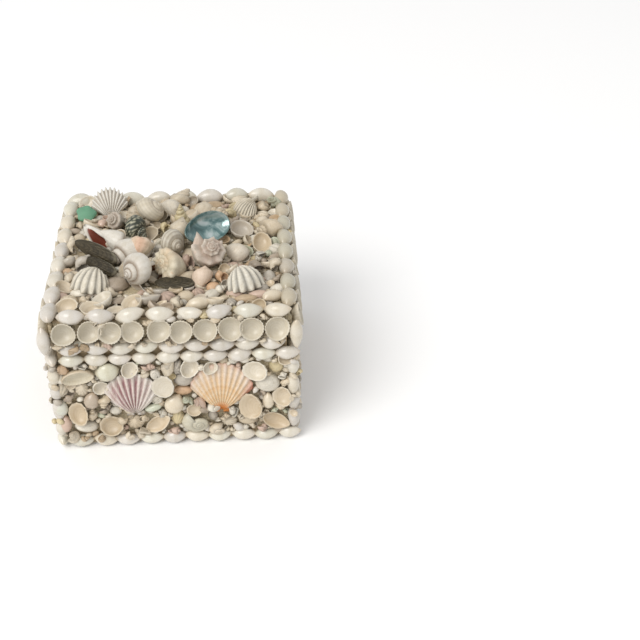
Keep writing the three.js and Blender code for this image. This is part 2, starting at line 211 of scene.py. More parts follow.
def pairs(along, across):
    """Each number of one row with each of the other, as (n, k, 2)."""
    return np.stack(np.broadcast_arrays(along[:, None], across[None]), -1)


def loft(rings, tone, growth=(0, 0), start=None, end=None):
    """A closed mesh over rings (n, k, 3) of points, closed by a fan of triangles at each end.

    The fans meet in start and end, or in the middles of their rings, and take their colour.
    """
    n, k, _ = rings.shape
    start = rings[0].mean(0) if start is None else start
    end = rings[-1].mean(0) if end is None else end

    def with_ends(values, width):
        values = np.broadcast_to(values, (n, k, width))
        return np.vstack([values.reshape(-1, width), values[0].mean(0), values[-1].mean(0)])

    verts = np.vstack([rings.reshape(-1, 3), start, end])
    i = np.arange(n - 1)[:, None] * k
    j = np.arange(k)
    after = (j + 1) % k
    quads = np.stack([i + j, i + after, i + k + after, i + k + j], -1).reshape(-1, 4)
    last = (n - 1) * k
    first_fan = np.stack([np.full(k, n * k), after, j], -1)
    last_fan = np.stack([np.full(k, n * k + 1), last + j, last + after], -1)
    tris = np.vstack([first_fan, last_fan])
    corners = verts[quads]
    volume = sum((corners[:, 0] * np.cross(corners[:, m], corners[:, m + 1])).sum() for m in (1, 2))
    if volume < 0:
        quads, tris = quads[:, ::-1], tris[:, ::-1]
    return Shape(verts, quads, tris, with_ends(tone, 3), with_ends(growth, 2))


def valve(
    length, width, depth, *, umbo=0.78, ribs=0, rib=0.0, teeth=0.0, around=36, rings=8,
    thick=0.7, base=IVORY, inner=None, groove=0.82, bands=0.06, lean=0.0, paint=None, pointed=0.0,
    beads=0.0, open_side=False,
):
    """A valve lying hollow side down on z = 0, its hinge towards -X, growing from the umbo.

    Its hollow side is only as fine as its outside if it is the open_side.
    """
    inner = np.clip(base * 1.06, 0, 0.92) if inner is None else inner
    psi = TAU * np.arange(around) / around
    far = np.minimum(psi, TAU - psi) / math.pi  # 0 at the margin, 1 at the hinge
    fade = np.clip((1 - far) * 3.2, 0, 1)
    wave = np.cos(ribs * psi) * fade if ribs else np.zeros(around)

    def outline(a, b):
        tip = 1 + pointed * np.clip(np.cos(psi), 0, 1) ** 6
        return np.stack([a * np.cos(psi) * tip, b * np.sin(psi) * (1 + 0.10 * np.cos(psi))], -1)

    def cap(xy, a, b):
        rho2 = np.clip((xy[..., 0] / a) ** 2 + (xy[..., 1] / (b * 1.05)) ** 2, 0, 1.03)
        return (np.sqrt(1.04 - rho2) - 0.1) / (math.sqrt(1.04) - 0.1)

    a, b = length / 2, width / 2
    grow = (np.arange(1, rings + 1) / rings) ** 0.85
    outer = outline(a, b) * (1 + (teeth / a) * wave)[:, None]
    point = np.array([-umbo * a, 0])
    xy = point + grow[:, None, None] * (outer - point)
    height = depth * cap(xy, a, b) + rib * wave * grow[:, None] ** 0.7
    height += depth * 0.16 * np.exp(-((grow[:, None] / 0.28) ** 2))
    step = 0.010 * depth * np.sin(grow * 26 + 5 * rng.random())
    height += step[:, None] * fade
    height += beads * np.clip(wave, 0, 1) * (np.sin(grow * 52)[:, None] - 0.3) * grow[:, None]
    height[-1] = np.maximum(0.15 * rib * wave, 0) + 0.02
    rim = outer * (1 - 0.45 * thick / a)
    ai, bi = a - thick, b - thick
    inside = outline(ai, bi) * (1 + 0.5 * (teeth / a) * wave)[:, None]
    inner_point = point * (ai / a)
    back = grow[::-1] if open_side else grow[[-1, rings // 2]]
    xy_in = inner_point + back[:, None, None] * (inside - inner_point)
    height_in = (depth - thick) * cap(xy_in, ai, bi) + 0.45 * rib * wave * back[:, None] ** 5
    height_in[0] = 0.02
    xs = np.concatenate([xy, rim[None], xy_in])
    zs = np.concatenate([height, np.full((1, around), -0.22 * thick), height_in])
    points = np.concatenate([xs, zs[..., None]], -1)
    points[..., 0] -= lean * points[..., 2]

    skin = np.append(grow, 1.0)  # the outside's rings and the rim
    tone = np.broadcast_to(base, points.shape).copy()
    if paint is not None:
        tone[:rings] = paint(grow[:, None], psi[None, :], wave[None, :])
    # Painted shade: the grooves between the ribs are darkened, down to groove times their colour.
    shade = 1 - (1 - groove) * np.clip(-wave, 0, 1)[None, :] * np.clip(skin * 1.4, 0, 1)[:, None]
    rhythm = 1 - bands * (0.5 + 0.5 * np.sin(skin * 21 + 6 * rng.random()))[:, None]
    tone[: rings + 1] *= (shade * rhythm)[..., None]
    # Painted shade: the inside darkens towards its deepest part.
    tone[rings + 1 :] = mix(inner, inner * 0.88, np.clip(1 - back, 0, 1)[:, None])
    growth = pairs(np.concatenate([grow, [2.0], back + 2]), psi / TAU)
    top = cap(point[None], a, b)[0] * depth + depth * 0.16
    under = cap(inner_point[None], ai, bi)[0] * (depth - thick)
    start = (point[0] - lean * top, 0, top)
    end = (inner_point[0] - lean * under, 0, under)
    return loft(points, tone, growth, start, end)


def cup(length, width, depth, **form):
    """The same valve lying hollow side up."""
    shape = valve(length, width, depth, open_side=True, **form)
    return shape.moved(turn_x(math.pi), (0, 0, depth))


def cowrie(length, width, height, base, around, rings):
    """A glossy ovoid centred on the origin, pointed at both ends along X."""
    v = math.pi * (np.arange(rings) + 0.6) / (rings + 0.2)
    along = np.cos(v)[:, None]
    alpha = TAU * np.arange(around) / around
    full = (np.sin(v) ** 1.46 * (1 + 0.08 * np.cos(v)))[:, None]
    x = -along * length / 2 * np.ones(around)
    y = full * np.cos(alpha) * width / 2
    z = full * np.sin(alpha) * height / 2 * (1 + 0.06 * np.sin(alpha)) - 0.12 * height * along**2
    tone = mix(base, base * rgb(0.96, 0.90, 0.84), np.clip(np.abs(along) ** 5 * 1.1, 0, 1))
    tip = np.array([length * 0.505, 0, -0.1 * height])
    return loft(np.stack([x, y, z], -1), tone, pairs(v / math.pi, alpha / TAU), tip * (-1, 1, 1), tip)


def suture_on(growth, rc, a, b, zc):
    """Where the whorl above ends on a whorl's own section, as an angle round that section."""
    alpha = np.linspace(-1.2, 2.4, 720)
    out, down = rc + a * np.cos(alpha), zc + b * np.sin(alpha)
    across, along = (out - rc * growth) / (a * growth), (down - zc * growth) / (b * growth)
    hit = int(np.argmax(across**2 + along**2 < 1))
    return math.atan2((down[hit] / growth - zc) / b, (out[hit] / growth - rc) / a)


def coil(
    *, turns=4, growth=1.75, rc=0.36, a=0.5, b=0.55, zc=1.35, canal=0.0, pull=0.0,
    shoulder=0.0, knobs=0, knob=0.0, cords=0, cord=0.0, flare=0.08, per_turn=26, around=18,
    wall=0.12, base=IVORY, seam=None, mouth=None, paint=None, ridges=0, line=0.13,
):
    """A right-handed coiled shell of unit size with its axis along Z and its apex at the top.

    The whorl's section is swept round a shrinking helix, turns out into the lip, and comes
    back inside as the mouth. The mouth looks along -Y.
    """
    seam = base * 0.66 if seam is None else seam
    mouth = base * 0.8 if mouth is None else mouth
    seam_at = suture_on(growth, rc, a, b, zc) % TAU
    alpha = TAU * np.arange(around) / around
    if line < 0.25:
        near_seam = (seam_at + line * np.array([-0.6, 0.4, 1.3, 2.6])) % TAU
        alpha = np.sort(np.concatenate([alpha, near_seam]))
    c, s = np.cos(alpha), np.sin(alpha)
    lower = np.clip(s, 0, 1) ** 2.2
    edge = np.clip(c, 0, 1) * np.clip(-s, 0, 1) * 2
    u = a * c - pull * lower + shoulder * edge
    w = b * s + canal * lower - 0.35 * shoulder * edge
    theta = np.linspace(-turns * TAU, 0, int(turns * per_turn))
    crown = np.exp(-((((alpha - 1.7 * math.pi + math.pi) % TAU - math.pi) / 0.42) ** 2))
    pulse = (0.5 + 0.5 * np.cos(knobs * theta)) ** 3 if knobs else np.zeros(len(theta))
    pulse = pulse * np.clip((theta + (turns - 0.8) * TAU) / TAU, 0, 1)
    raised = pulse[:, None] * crown
    lip = 1 + flare * np.clip(1 + theta / 0.5, 0, 1) ** 2
    rough = 1 + 0.012 * np.sin(theta * 9.3) * np.sin(theta * 2.1)
    if ridges:
        rough = rough + 0.03 * np.clip(np.cos(theta * ridges), 0, 1) ** 6
    swell = (1 + cord * np.cos(cords * alpha) * (c > -0.3)) * (lip * rough)[:, None]
    out = u * swell + knob * raised
    down = w * swell - 0.7 * knob * raised

    inward = np.array([0.0, -0.08, -0.3, -0.7, -1.15, -1.6])
    shrink = np.array([1 - wall * 0.4, 1 - wall, 1 - 1.5 * wall, 0.8, 0.76, 0.7])
    out = np.concatenate([out, shrink[:, None] * out[-1]])
    down = np.concatenate([down, shrink[:, None] * down[-1]])
    angle = np.concatenate([theta, inward])
    size = (growth ** (angle / TAU))[:, None]
    radius = (rc + out) * size
    x = radius * np.cos(angle)[:, None]
    y = -radius * np.sin(angle)[:, None]
    z = -(zc + down) * size

    outside = len(theta)
    tone = np.broadcast_to(base, (*radius.shape, 3)).copy()
    if paint is not None:
        tone[:outside] = paint(theta[:, None], alpha[None, :], raised)
    # The suture's dark line is partly its own colour and partly painted shade in its crease; the fainter
    # band next to it is painted shade.
    off = (alpha - seam_at - line * 0.4 + math.pi) % TAU - math.pi
    suture_line_and_shade = np.exp(-((off / line) ** 2)) + 0.30 * np.exp(-(((off - 2 * line) / (3 * line)) ** 2))
    tone[:outside] = mix(tone[:outside], seam, 0.9 * np.clip(suture_line_and_shade, 0, 1)[None])
    # Painted shade: the troughs between the cords are darkened.
    if cords:
        tone[:outside] *= (1 - 0.16 * (0.5 - 0.5 * np.cos(cords * alpha)))[None, :, None]
    tone[outside + 2 :] = mouth
    shape = loft(np.stack([x, y, z], -1), tone, pairs(angle / TAU, alpha / TAU))
    low, high = shape.box()
    return shape.moved(by=-(low + high) / 2)


def scallop(length, width, height, ribs, paint, relief, thick=1.3, spiky=0.0):
    """A fan of rounded ribs, hollow side down, its hinge at the origin and its margin to +Y."""
    rings, half_angle = 22, math.radians(56)
    across = np.linspace(-1, 1, 6 * ribs + 1)
    wave = -np.cos(across * math.pi * ribs) * (1 - across**8)
    ridge = np.sign(wave) * np.abs(wave) ** 0.75
    grow = np.linspace(0.03, 1, rings)[:, None]
    reach = length * (1 - 0.15 * across**2 - 0.05 * across**8)
    sideways = width / (2 * 0.80 * length * math.sin(half_angle))

    def sheet(lift, inset, relief_left):
        edge = np.clip(1 - np.abs(across) ** 5, 0, 1) ** 0.5
        out = grow * (reach - inset) * (1 + (0.012 + spiky * grow**8) * wave * relief_left)
        x = out * np.sin(half_angle * across) * sideways * (1 - inset / width)
        y = out * np.cos(half_angle * across)
        dome = np.sin(grow**0.75 * math.pi * 0.86)
        z = height * dome * (0.30 + 0.70 * edge) + lift
        z += relief_left * relief * ridge * (0.35 + grow) / 1.35
        return np.stack([x, y, z], -1)

    top = sheet(0, 0, 1.0)
    under = sheet(-thick, thick * 0.5, 0.7)
    under[..., 2] = np.minimum(under[..., 2], top[..., 2] - 0.45 * thick)
    tone_top = np.broadcast_to(paint(grow, across[None], wave[None]), top.shape)
    tone = np.concatenate([tone_top, np.broadcast_to(WHITE, under.shape)], 1)
    growth = pairs(grow[:, 0], np.concatenate([across, across[::-1]]) * 0.5 + 0.5)
    fan = loft(np.concatenate([top, under[:, ::-1]], 1), tone, growth)
    # The margin is closed straight between its two sheets instead of by a fan of triangles.
    sheet_size = len(across)
    k = 2 * sheet_size
    last = (rings - 1) * k
    j = np.arange(sheet_size - 1)
    closing = np.stack([last + j, last + j + 1, last + k - 2 - j, last + k - 1 - j], -1)
    flipped = not np.array_equal(fan.quads[0], [0, 1, k + 1, k])
    fan.quads = np.vstack([fan.quads, closing[:, ::-1] if flipped else closing])
    fan.tris = fan.tris[fan.tris.max(1) < rings * k + 1]
    fan.verts, fan.tone, fan.growth = fan.verts[:-1], fan.tone[:-1], fan.growth[:-1]
    return [fan] + [ear(side, width, length, thick, tone_top[0].mean(0)) for side in (-1, 1)]


def ear(side, width, length, thick, tone):
    """The small straight wing on one side of a scallop's hinge."""
    rings = []
    for far in np.linspace(0, 1, 5):
        low, high = -0.012 * length, length * (0.02 + 0.12 * far * (1 - 0.35 * far))
        corners = np.array([(low, 0.1), (low, 0.9), (high, 0.9), (high, 0.1)])
        middles = corners + (np.roll(corners, -1, 0) - corners) / 2
        y, z = np.stack([corners, middles], 1).reshape(-1, 2).T
        x = np.full(len(y), side * width * (0.03 + 0.13 * far))
        rings.append(np.stack([x, y, z * thick * 1.3 + 0.8], -1))
    return loft(np.array(rings), tone)


# ---- Materials ----


class Finish:
    """A material in the making. Its methods add nodes and give back the outputs to use."""

    def __init__(self, name, values):
        self.material = bpy.data.materials.new(name)
        self.material.use_nodes = True
        self.tree = self.material.node_tree
        self.tree.nodes.clear()
        self.shader = self.tree.nodes.new("ShaderNodeBsdfPrincipled")
        for socket, value in values.items():
            self.shader.inputs[socket].default_value = value
        self.node("OutputMaterial", {"Surface": self.shader.outputs[0]})

    def node(self, kind, inputs, **settings):
        """A node with its settings, each input linked to an output or set to a value."""
        made = self.tree.nodes.new("ShaderNode" + kind)
        for key, value in settings.items():
            setattr(made, key, value)
        for key, value in inputs.items():
            if isinstance(value, bpy.types.NodeSocket):
                self.tree.links.new(value, made.inputs[key])
            else:
                made.inputs[key].default_value = value
        return made

    def place(self):
        return self.node("TexCoord", {}).outputs["Object"]

    def noise(self, scale, detail, roughness=0.5, distortion=0.0, place=None):
        inputs = {"Scale": scale, "Detail": detail, "Roughness": roughness, "Distortion": distortion}
        return self.node("TexNoise", {"Vector": place or self.place(), **inputs}).outputs["Fac"]

    def tone(self):
        return self.node("Attribute", {}, attribute_name="tone").outputs["Color"]

    def math(self, operation, *values):
        return self.node("Math", dict(enumerate(values)), operation=operation).outputs[0]

    def growth_lines(self, noise, wobble, rate):
        """Waves from 0 to 1 along each shell's growth, made uneven by a noise."""
        growth = self.node("Attribute", {}, attribute_name="growth").outputs["Vector"]
        along = self.node("SeparateXYZ", {0: growth}).outputs["X"]
        along = self.math("ADD", along, self.math("MULTIPLY", noise, wobble))
        sine = self.math("SINE", self.math("MULTIPLY", along, rate))
        return self.math("MULTIPLY", self.math("ADD", sine, 1.0), 0.5)

    def ramp(self, source, *stops):
        made = self.node("ValToRGB", {0: source})
        elements = made.color_ramp.elements
        while len(elements) < len(stops):
            elements.new(0.5)
        for element, (place, colour) in zip(elements, stops):
            element.position = place
            element.color = (*colour, 1)
        return made.outputs["Color"]

    def multiply(self, a, b, amount=1.0):
        inputs = {"Factor": amount, 6: a, 7: b}  # 6 and 7 are the colours A and B
        return self.node("Mix", inputs, data_type="RGBA", blend_type="MULTIPLY").outputs[2]

    def link(self, source, socket):
        self.tree.links.new(source, self.shader.inputs[socket])

    def done(self, colour, height, strength, distance):
        """The finished material, with its colour, and its height as a bump."""
        bump = self.node("Bump", {"Height": height, "Strength": strength, "Distance": distance})
        self.link(bump.outputs["Normal"], "Normal")
        self.link(colour, "Base Color")
        return self.material


def shell_material(name, roughness, coat=0.0, relief=0.25, lines=9.0, mottle=0.12, dirt=0.25):
    """Shell: its own colour, mottled, with growth lines that follow each shell's growth."""
    skin = Finish(name, {"Coat Weight": coat, "Coat Roughness": 0.12})
    fine = skin.noise(900.0, 3.0, 0.65)
    line = skin.growth_lines(fine, 0.10, lines * TAU)
    low = 1 - mottle
    worn = (low, low * 0.98, low * 0.94)
    patchy = skin.ramp(skin.noise(170.0, 4.0, 0.6), (0.30, worn), (0.62, (1, 1, 1)))
    lined = skin.ramp(line, (0.0, (0.93, 0.915, 0.88)), (0.45, (1, 1, 1)))
    colour = skin.multiply(skin.multiply(skin.tone(), patchy), lined, 0.75)
    if dirt:
        dark = (1 - dirt, 1 - dirt * 1.15, 1 - dirt * 1.4)
        colour = skin.multiply(colour, skin.ramp(fine, (0.30, dark), (0.46, (1, 1, 1))), 0.7)
    skin.link(skin.ramp(fine, (0.3, (roughness + 0.12,) * 3), (0.6, (roughness,) * 3)), "Roughness")
    height = skin.math("ADD", skin.math("MULTIPLY", line, 0.5), skin.math("MULTIPLY", fine, 0.9))
    return skin.done(colour, height, relief, 0.0004)


def glue_material():
    """Cream glue and grit, the ground that every small shell sits in."""
    glue = Finish("glue", {"Roughness": 0.62})
    coarse = glue.noise(110.0, 6.0, 0.7)
    grit = glue.node("TexVoronoi", {"Vector": glue.place(), "Scale": 520.0}).outputs["Distance"]
    colour = glue.ramp(
        coarse, (0.30, (0.34, 0.26, 0.16)), (0.50, (0.50, 0.42, 0.28)), (0.70, (0.60, 0.53, 0.38)))
    return glue.done(colour, glue.math("ADD", coarse, grit), 0.7, 0.0012)


def board_material():
    """Plain pale board, washed over with the same cream glue."""
    board = Finish("board", {"Roughness": 0.7})
    stretched = board.node("Mapping", {"Vector": board.place(), "Scale": (9, 60, 60)}).outputs[0]
    grain = board.noise(3.0, 8.0, 0.62, place=stretched)
    colour = board.ramp(
        grain, (0.34, (0.36, 0.26, 0.15)), (0.52, (0.52, 0.41, 0.26)), (0.68, (0.62, 0.51, 0.35)))
    return board.done(colour, grain, 0.25, 0.0006)


def mussel_material():
    """Dark olive skin with fine paler growth lines, the blades paler at the edge."""
    skin = Finish("mussel_skin", {"Roughness": 0.50, "Specular IOR Level": 0.25})
    fine = skin.noise(260.0, 5.0, 0.65)
    line = skin.growth_lines(fine, 0.22, 60.0)
    streaks = skin.ramp(line, (0.0, (0.62, 0.60, 0.54)), (0.55, (1.0, 1.0, 1.0)), (1.0, (1.0, 1.0, 0.96)))
    worn = skin.ramp(fine, (0.32, (0.60, 0.60, 0.58)), (0.62, (1, 1, 1)))
    return skin.done(skin.multiply(skin.multiply(skin.tone(), streaks), worn), line, 0.35, 0.0004)


def nacre_material():
    """Pearly blue-green, in soft ripples that run round the bowl."""
    values = {"Metallic": 0.35, "Roughness": 0.20, "Coat Weight": 0.6, "Coat Roughness": 0.06}
    nacre = Finish("nacre", values)
    hue = nacre.ramp(
        nacre.noise(70.0, 3.0, 0.5, 1.4), (0.30, (0.05, 0.12, 0.12)), (0.43, (0.11, 0.21, 0.21)),
        (0.52, (0.21, 0.32, 0.32)), (0.60, (0.34, 0.45, 0.44)), (0.72, (0.54, 0.62, 0.62)))
    return nacre.done(nacre.multiply(hue, nacre.tone()), nacre.noise(330.0, 3.0, 0.6), 0.35, 0.0008)


def sea_glass_material():
    """Frosted green glass, tumbled dull."""
    values = {"Roughness": 0.55, "Subsurface Weight": 0.35, "Subsurface Radius": (0.002, 0.004, 0.003)}
    glass = Finish("sea_glass", values)
    colour = glass.ramp(glass.noise(60.0, 2.0), (0.35, (0.075, 0.22, 0.13)), (0.65, (0.15, 0.33, 0.21)))
    return glass.done(colour, glass.noise(600.0, 4.0, 0.7), 0.3, 0.0003)


GLOSS = shell_material("cowrie_gloss", 0.26, coat=0.26, relief=0.05, lines=3.0, mottle=0.07, dirt=0.0)
SATIN = shell_material("shell_satin", 0.42, coat=0.08, relief=0.30, lines=9.0)
RIBBED = shell_material("shell_ribbed", 0.52, relief=0.45, lines=12.0, mottle=0.10)
CUPS = shell_material("cup_shell", 0.32, coat=0.18, relief=0.18, lines=7.0, mottle=0.07, dirt=0.10)
WHELK_SKIN = shell_material("whelk_skin", 0.40, coat=0.10, relief=0.30, lines=14.0, mottle=0.10, dirt=0.16)
ROUGH_SKIN = shell_material("rough_skin", 0.55, relief=0.60, lines=11.0, mottle=0.22, dirt=0.25)
GLUE, BOARD, MUSSEL = glue_material(), board_material(), mussel_material()
NACRE, SEA_GLASS = nacre_material(), sea_glass_material()

# ---- Small shells of every kind ----
# Each lies flat side down on z = 0. Its margin, its apex or its opening is towards +X.


def resting(shape, sink=0.0):
    """The shape centred over the origin and set down on z = 0, or sunk a little below it."""
    low, high = shape.box()
    return shape.moved(by=(-(low[0] + high[0]) / 2, -(low[1] + high[1]) / 2, -low[2] - sink))


def enough(rings, fine):
    return max(4, int(rings * fine))


def clam(size, base, fine):
    width, depth = size * rng.uniform(0.78, 0.92), size * rng.uniform(0.30, 0.40)
    return valve(size, width, depth, around=int(26 * fine), rings=enough(7, fine), thick=size * 0.05,
                 base=base, bands=0.14, umbo=rng.uniform(0.6, 0.85))


def wedge(size, base, fine):
    return valve(size, size * 0.52, size * 0.24, around=int(26 * fine), rings=enough(6, fine),
                 thick=size * 0.04, base=base, bands=0.16, umbo=0.35)


def cockle(size, base, fine):
    ribs = int(rng.integers(11, 15) * fine)
    return valve(size, size * 0.95, size * 0.42, ribs=ribs, rib=size * 0.020, teeth=size * 0.012,
                 around=ribs * 4, rings=enough(7, fine), thick=size * 0.05, base=base, groove=0.72)


def lump(size, base, fine):
    """A worn, knobbly little shell, as rough as a barnacle."""
    return valve(size, size * 0.9, size * 0.50, ribs=7, rib=size * 0.05, teeth=size * 0.03, umbo=0.3,
                 around=28, rings=enough(7, fine), thick=size * 0.06, base=base, groove=0.62, bands=0.25)


def leaning_cup(size, base, fine):
    """A hollow half that opens upwards and leans over towards +X."""
    ribs = int(rng.integers(12, 17) * fine)
    lean = rng.uniform(14, 30)
    shape = cup(size, size * rng.uniform(0.86, 0.98), size * 0.42, ribs=ribs, rib=size * 0.012,
                teeth=size * 0.016, around=ribs * 3, rings=enough(6, fine), thick=size * 0.055, base=base,
                inner=np.clip(base * rgb(0.97, 0.95, 0.92), 0, 0.9))
    return resting(shape.moved(turn_y(math.radians(lean))), size * 0.05)


def leaf(size, base, fine):
    """A long hollow half with pointed ends."""
    shape = cup(size, size * 0.60, size * 0.24, around=int(36 * fine), rings=enough(6, fine),
                thick=size * 0.045, base=base, pointed=0.30, umbo=0.5,
                inner=np.clip(base * rgb(1.0, 0.95, 0.88), 0, 0.9))
    return resting(shape.moved(turn_x(math.radians(rng.uniform(-20, 20)))), size * 0.03)


def broad_cup(size, base, fine):
    """A large cockle half, finely toothed, always at full fineness."""
    shape = cup(size * 0.6, size, size * 0.26, ribs=30, rib=0.28, teeth=0.42, around=90, rings=9,
                thick=0.9, base=base, inner=rgb(0.66, 0.60, 0.47), umbo=0.55)
    return resting(shape.moved(turn_y(math.radians(12))), 0.6)


CONCH_FORMS = [
    dict(turns=3.2, growth=1.75, zc=1.7, rc=0.34, a=0.42, b=0.62, canal=0.35, pull=0.22,
         shoulder=0.06, knobs=8, knob=0.16),
    dict(turns=3.4, growth=1.6, zc=2.0, rc=0.34, a=0.46, b=0.6, canal=0.15, pull=0.15),
    dict(turns=3, growth=2.0, zc=1.25, rc=0.36, a=0.52, b=0.62, canal=0.2, pull=0.2),
    dict(turns=2.8, growth=1.9, zc=1.1, rc=0.36, a=0.5, b=0.6, shoulder=0.12, knobs=7, knob=0.24),
]


def conch(size, base, fine):
    form = CONCH_FORMS[rng.integers(len(CONCH_FORMS))]
    shape = coil(per_turn=max(7, int(12 * fine)), around=max(9, int(13 * fine)), base=base,
                 line=0.2 if fine > 0.9 else 0.3, seam=base * 0.55, mouth=base * 0.6, **form)
    low, high = shape.box()
    lying = turn_y(QUARTER - rng.uniform(0, 0.6)) @ turn_z(TAU * rng.random())
    return resting(shape.moved(lying, scale=size / (high - low).max()), size * 0.08)


def moon(size, base, fine):
    shape = coil(turns=2.8, growth=2.1, zc=0.85, rc=0.42, a=0.6, b=0.62, per_turn=max(9, int(17 * fine)),
                 around=max(8, int(14 * fine)), base=base, mouth=base * 0.6, seam=base * 0.6)
    low, high = shape.box()
    leaning = turn_y(rng.uniform(0.1, 0.6)) @ turn_z(TAU * rng.random())
    return resting(shape.moved(leaning, scale=size / (high - low)[:2].max()), size * 0.10)


def small_cowrie(size, base, fine):
    around, rings = (10, 9) if fine < 0.9 else (16, 13)
    return resting(cowrie(size, size * 0.54, size * 0.50, base, around, rings), size * 0.06)


def ovoid(size, base, fine):
    shape = cowrie(size, size * 0.80, size * 0.62, base, int(20 * fine), int(14 * fine))
    return resting(shape, size * 0.08)


# Each form's maker, its material and what draws its usual colour.
KINDS = {
    "clam": (clam, SATIN, any_tone),
    "wedge": (wedge, SATIN, any_tone),
    "conch": (conch, SATIN, any_tone),
    "moon": (moon, SATIN, any_tone),
    "cockle": (cockle, RIBBED, any_tone),
    "lump": (lump, RIBBED, any_tone),
    "cup": (leaning_cup, CUPS, even_tone),
    "leaf": (leaf, CUPS, any_tone),
    "broad": (broad_cup, CUPS, any_tone),
    "cowrie": (small_cowrie, GLOSS, glossy_tone),
    "ovoid": (ovoid, GLOSS, glossy_tone),
}
FILLERS = ["conch", "conch", "conch", "clam", "clam", "cup", "cowrie", "moon", "wedge", "lump"]


def filler_form():
    return FILLERS[rng.integers(len(FILLERS))]


def one_shell(form, wide, deep, toward, tone=None, fine=1.0):
    """A small shell turned towards an angle and fitted to the room it has, with its material."""
    make, material, usual_tone = KINDS[form]
    tone = usual_tone() if tone is None else np.clip(tone * rng.uniform(0.95, 1.04), 0, 0.9)
    shape = make(max(wide, deep), tone, fine).moved(turn_z(math.radians(toward)))
    low, high = shape.box()
    stretch = np.array([wide, deep]) / (high - low)[:2]
    return resting(shape.moved(scale=(*stretch, math.sqrt(stretch[0] * stretch[1])))), material

# ---- Pieces ----


class Heap:
    """Shapes that will become one mesh, each with a material of its own."""

    def __init__(self, name):
        self.name = name
        self.shapes = []

    def add(self, shape, material, turn=None, by=(0, 0, 0)):
        for one in shape if isinstance(shape, list) else [shape]:
            self.shapes.append((one.moved(turn, by), material))

    def build(self, node):
        """Makes the piece, which stands for one CAD node."""
        materials, faces, slots = [], [], []
        verts, tones, growths = [], [], []
        count = 0
        for shape, material in self.shapes:
            if material not in materials:
                materials.append(material)
            for corners in (shape.quads, shape.tris):
                faces.extend((corners + count).tolist())
                slots.extend([materials.index(material)] * len(corners))
            seed = np.full(len(shape.verts), rng.random())
            verts.append(shape.verts)
            tones.append(shape.tone)
            growths.append(np.column_stack([shape.growth, seed]))
            count += len(shape.verts)
        mesh = bpy.data.meshes.new(self.name)
        mesh.from_pydata((np.vstack(verts) * MM).tolist(), [], faces)
        mesh.polygons.foreach_set("material_index", slots)
        mesh.polygons.foreach_set("use_smooth", [True] * len(faces))
        for material in materials:
            mesh.materials.append(material)
        tone = mesh.attributes.new("tone", "FLOAT_COLOR", "POINT")
        colours = np.column_stack([np.clip(np.vstack(tones), 0, 1), np.ones(count)])
        tone.data.foreach_set("color", colours.ravel())
        growth = mesh.attributes.new("growth", "FLOAT_VECTOR", "POINT")
        growth.data.foreach_set("vector", np.vstack(growths).ravel())
        mesh.update()
        piece = add_object(self.name, mesh)
        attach(piece, "root")
        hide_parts(node)


def make_piece(name, slot, fill, *facts, **more):
    """One piece for a CAD node, filled by a function that takes the heap and some facts."""
    heap = Heap(name + "_shells")
    fill(heap, *facts, **more)
    heap.build(name)


def slab(low, high, facing, rows=9):
    """A bed of glue from its lowest to its highest corner, uneven on the face given by facing.

    facing is the axis that the face looks along, and -1 or 1.
    """
    low, high = np.array(low, float), np.array(high, float)
    columns, unevenness = 30, 0.25
    axis, sign = facing
    across = [k for k in range(3) if k != axis]
    edge = np.concatenate([
        np.linspace((0, 0), (1, 0), columns)[:-1], np.linspace((1, 0), (1, 1), rows)[:-1],
        np.linspace((1, 1), (0, 1), columns)[:-1], np.linspace((0, 1), (0, 0), rows)[:-1],
    ])
    back, outer = (low[axis], high[axis]) if sign > 0 else (high[axis], low[axis])
    rings = []
    for shrink, level in [(0.02, 0.0), (0.6, 0.0), (1, 0.0), (1, 0.75), (0.985, 1), (0.8, 1),
                          (0.6, 1), (0.4, 1), (0.2, 1), (0.06, 1)]:
        ring = np.zeros((len(edge), 3))
        ring[:, across] = low[across] + (0.5 + (edge - 0.5) * shrink) * (high - low)[across]
        ring[:, axis] = back + level * (outer - back)
        if level == 1:
            ring[:, axis] -= sign * unevenness * rng.random(len(edge))
        rings.append(ring)
    return loft(np.array(rings), CREAM)


# ---- Dimensions that the CAD model has too ----

CARCASS_HALF = 91.0
COURSE_OUT = 96.0
CREST_OUT = 93.5
CORNER_OUT = 95.3
CORNER_LENGTH = 27.0
CORNER_Z = 108.6
FOOT_Z, BASE_CREST_Z, LID_FOOT_Z = 6.2, 88.3, 98.9
CUPS_Z, CREST_Z = 113.3, 127.9
SIDES = ["front", "right", "back", "left"]
FRONT, RIGHT, BACK, LEFT = range(4)

# ---- Dimensions of the dressed box ----

WOOD_Y, BED_Y = -91.3, -92.4  # the back and the face of the front's bed of glue
BED_LOW, BED_HIGH = 12.2, 82.5
LID_BED_LOW, LID_BED_Z = 122.8, 123.9
LID_HALF = 87.7
FAN_HINGE_Z = 30.5
BASE_RUN = (-89.4, 100.7)  # where a course of the base starts and ends along its side
LID_FOOT_RUN = (-89.4, 89.4)
FRONT_CREST_END, CREST_END = 95.5, 98.7
CUP_ROW_END = 91.2
FOOT_RADIUS, COURSE_RADIUS = 4.7, 4.8
CREST_RADIUS, BACK_CREST_RADIUS = 5.4, 6.3  # a little fuller than the CAD model's
COWRIE_GIRTH = 2.35  # a course's cowries are about this many radii wide
OUTERMOST = 102.6  # shells are squeezed in to this reach, cups and corner cowries to a little more
LID_CORNER_OUT = 98.4  # the lid's corner cowries stand proud of the base
LID_OVERHANG = 2.4  # and so do its cups, except on the front
FAR_AWAY, COVERED = 99.0, -9.0  # the room at a place that is clear, and at one that is not

# ---- Courses ----


def put(heap, side, shape, material, turn, at, reach=OUTERMOST):
    """Lays a shape on the front, squeezed in to its reach, and turns it round to its side."""
    laid = shape.moved(turn, at)
    y = laid.verts[:, 1]
    base, furthest = -at[1], -y.min()
    if furthest > reach:
        squeezed = -base + (y + base) * (reach - base) / (furthest - base)
        laid.verts[:, 1] = np.where(y < -base, squeezed, y)
    heap.add(laid, material, turn_z(side * QUARTER))


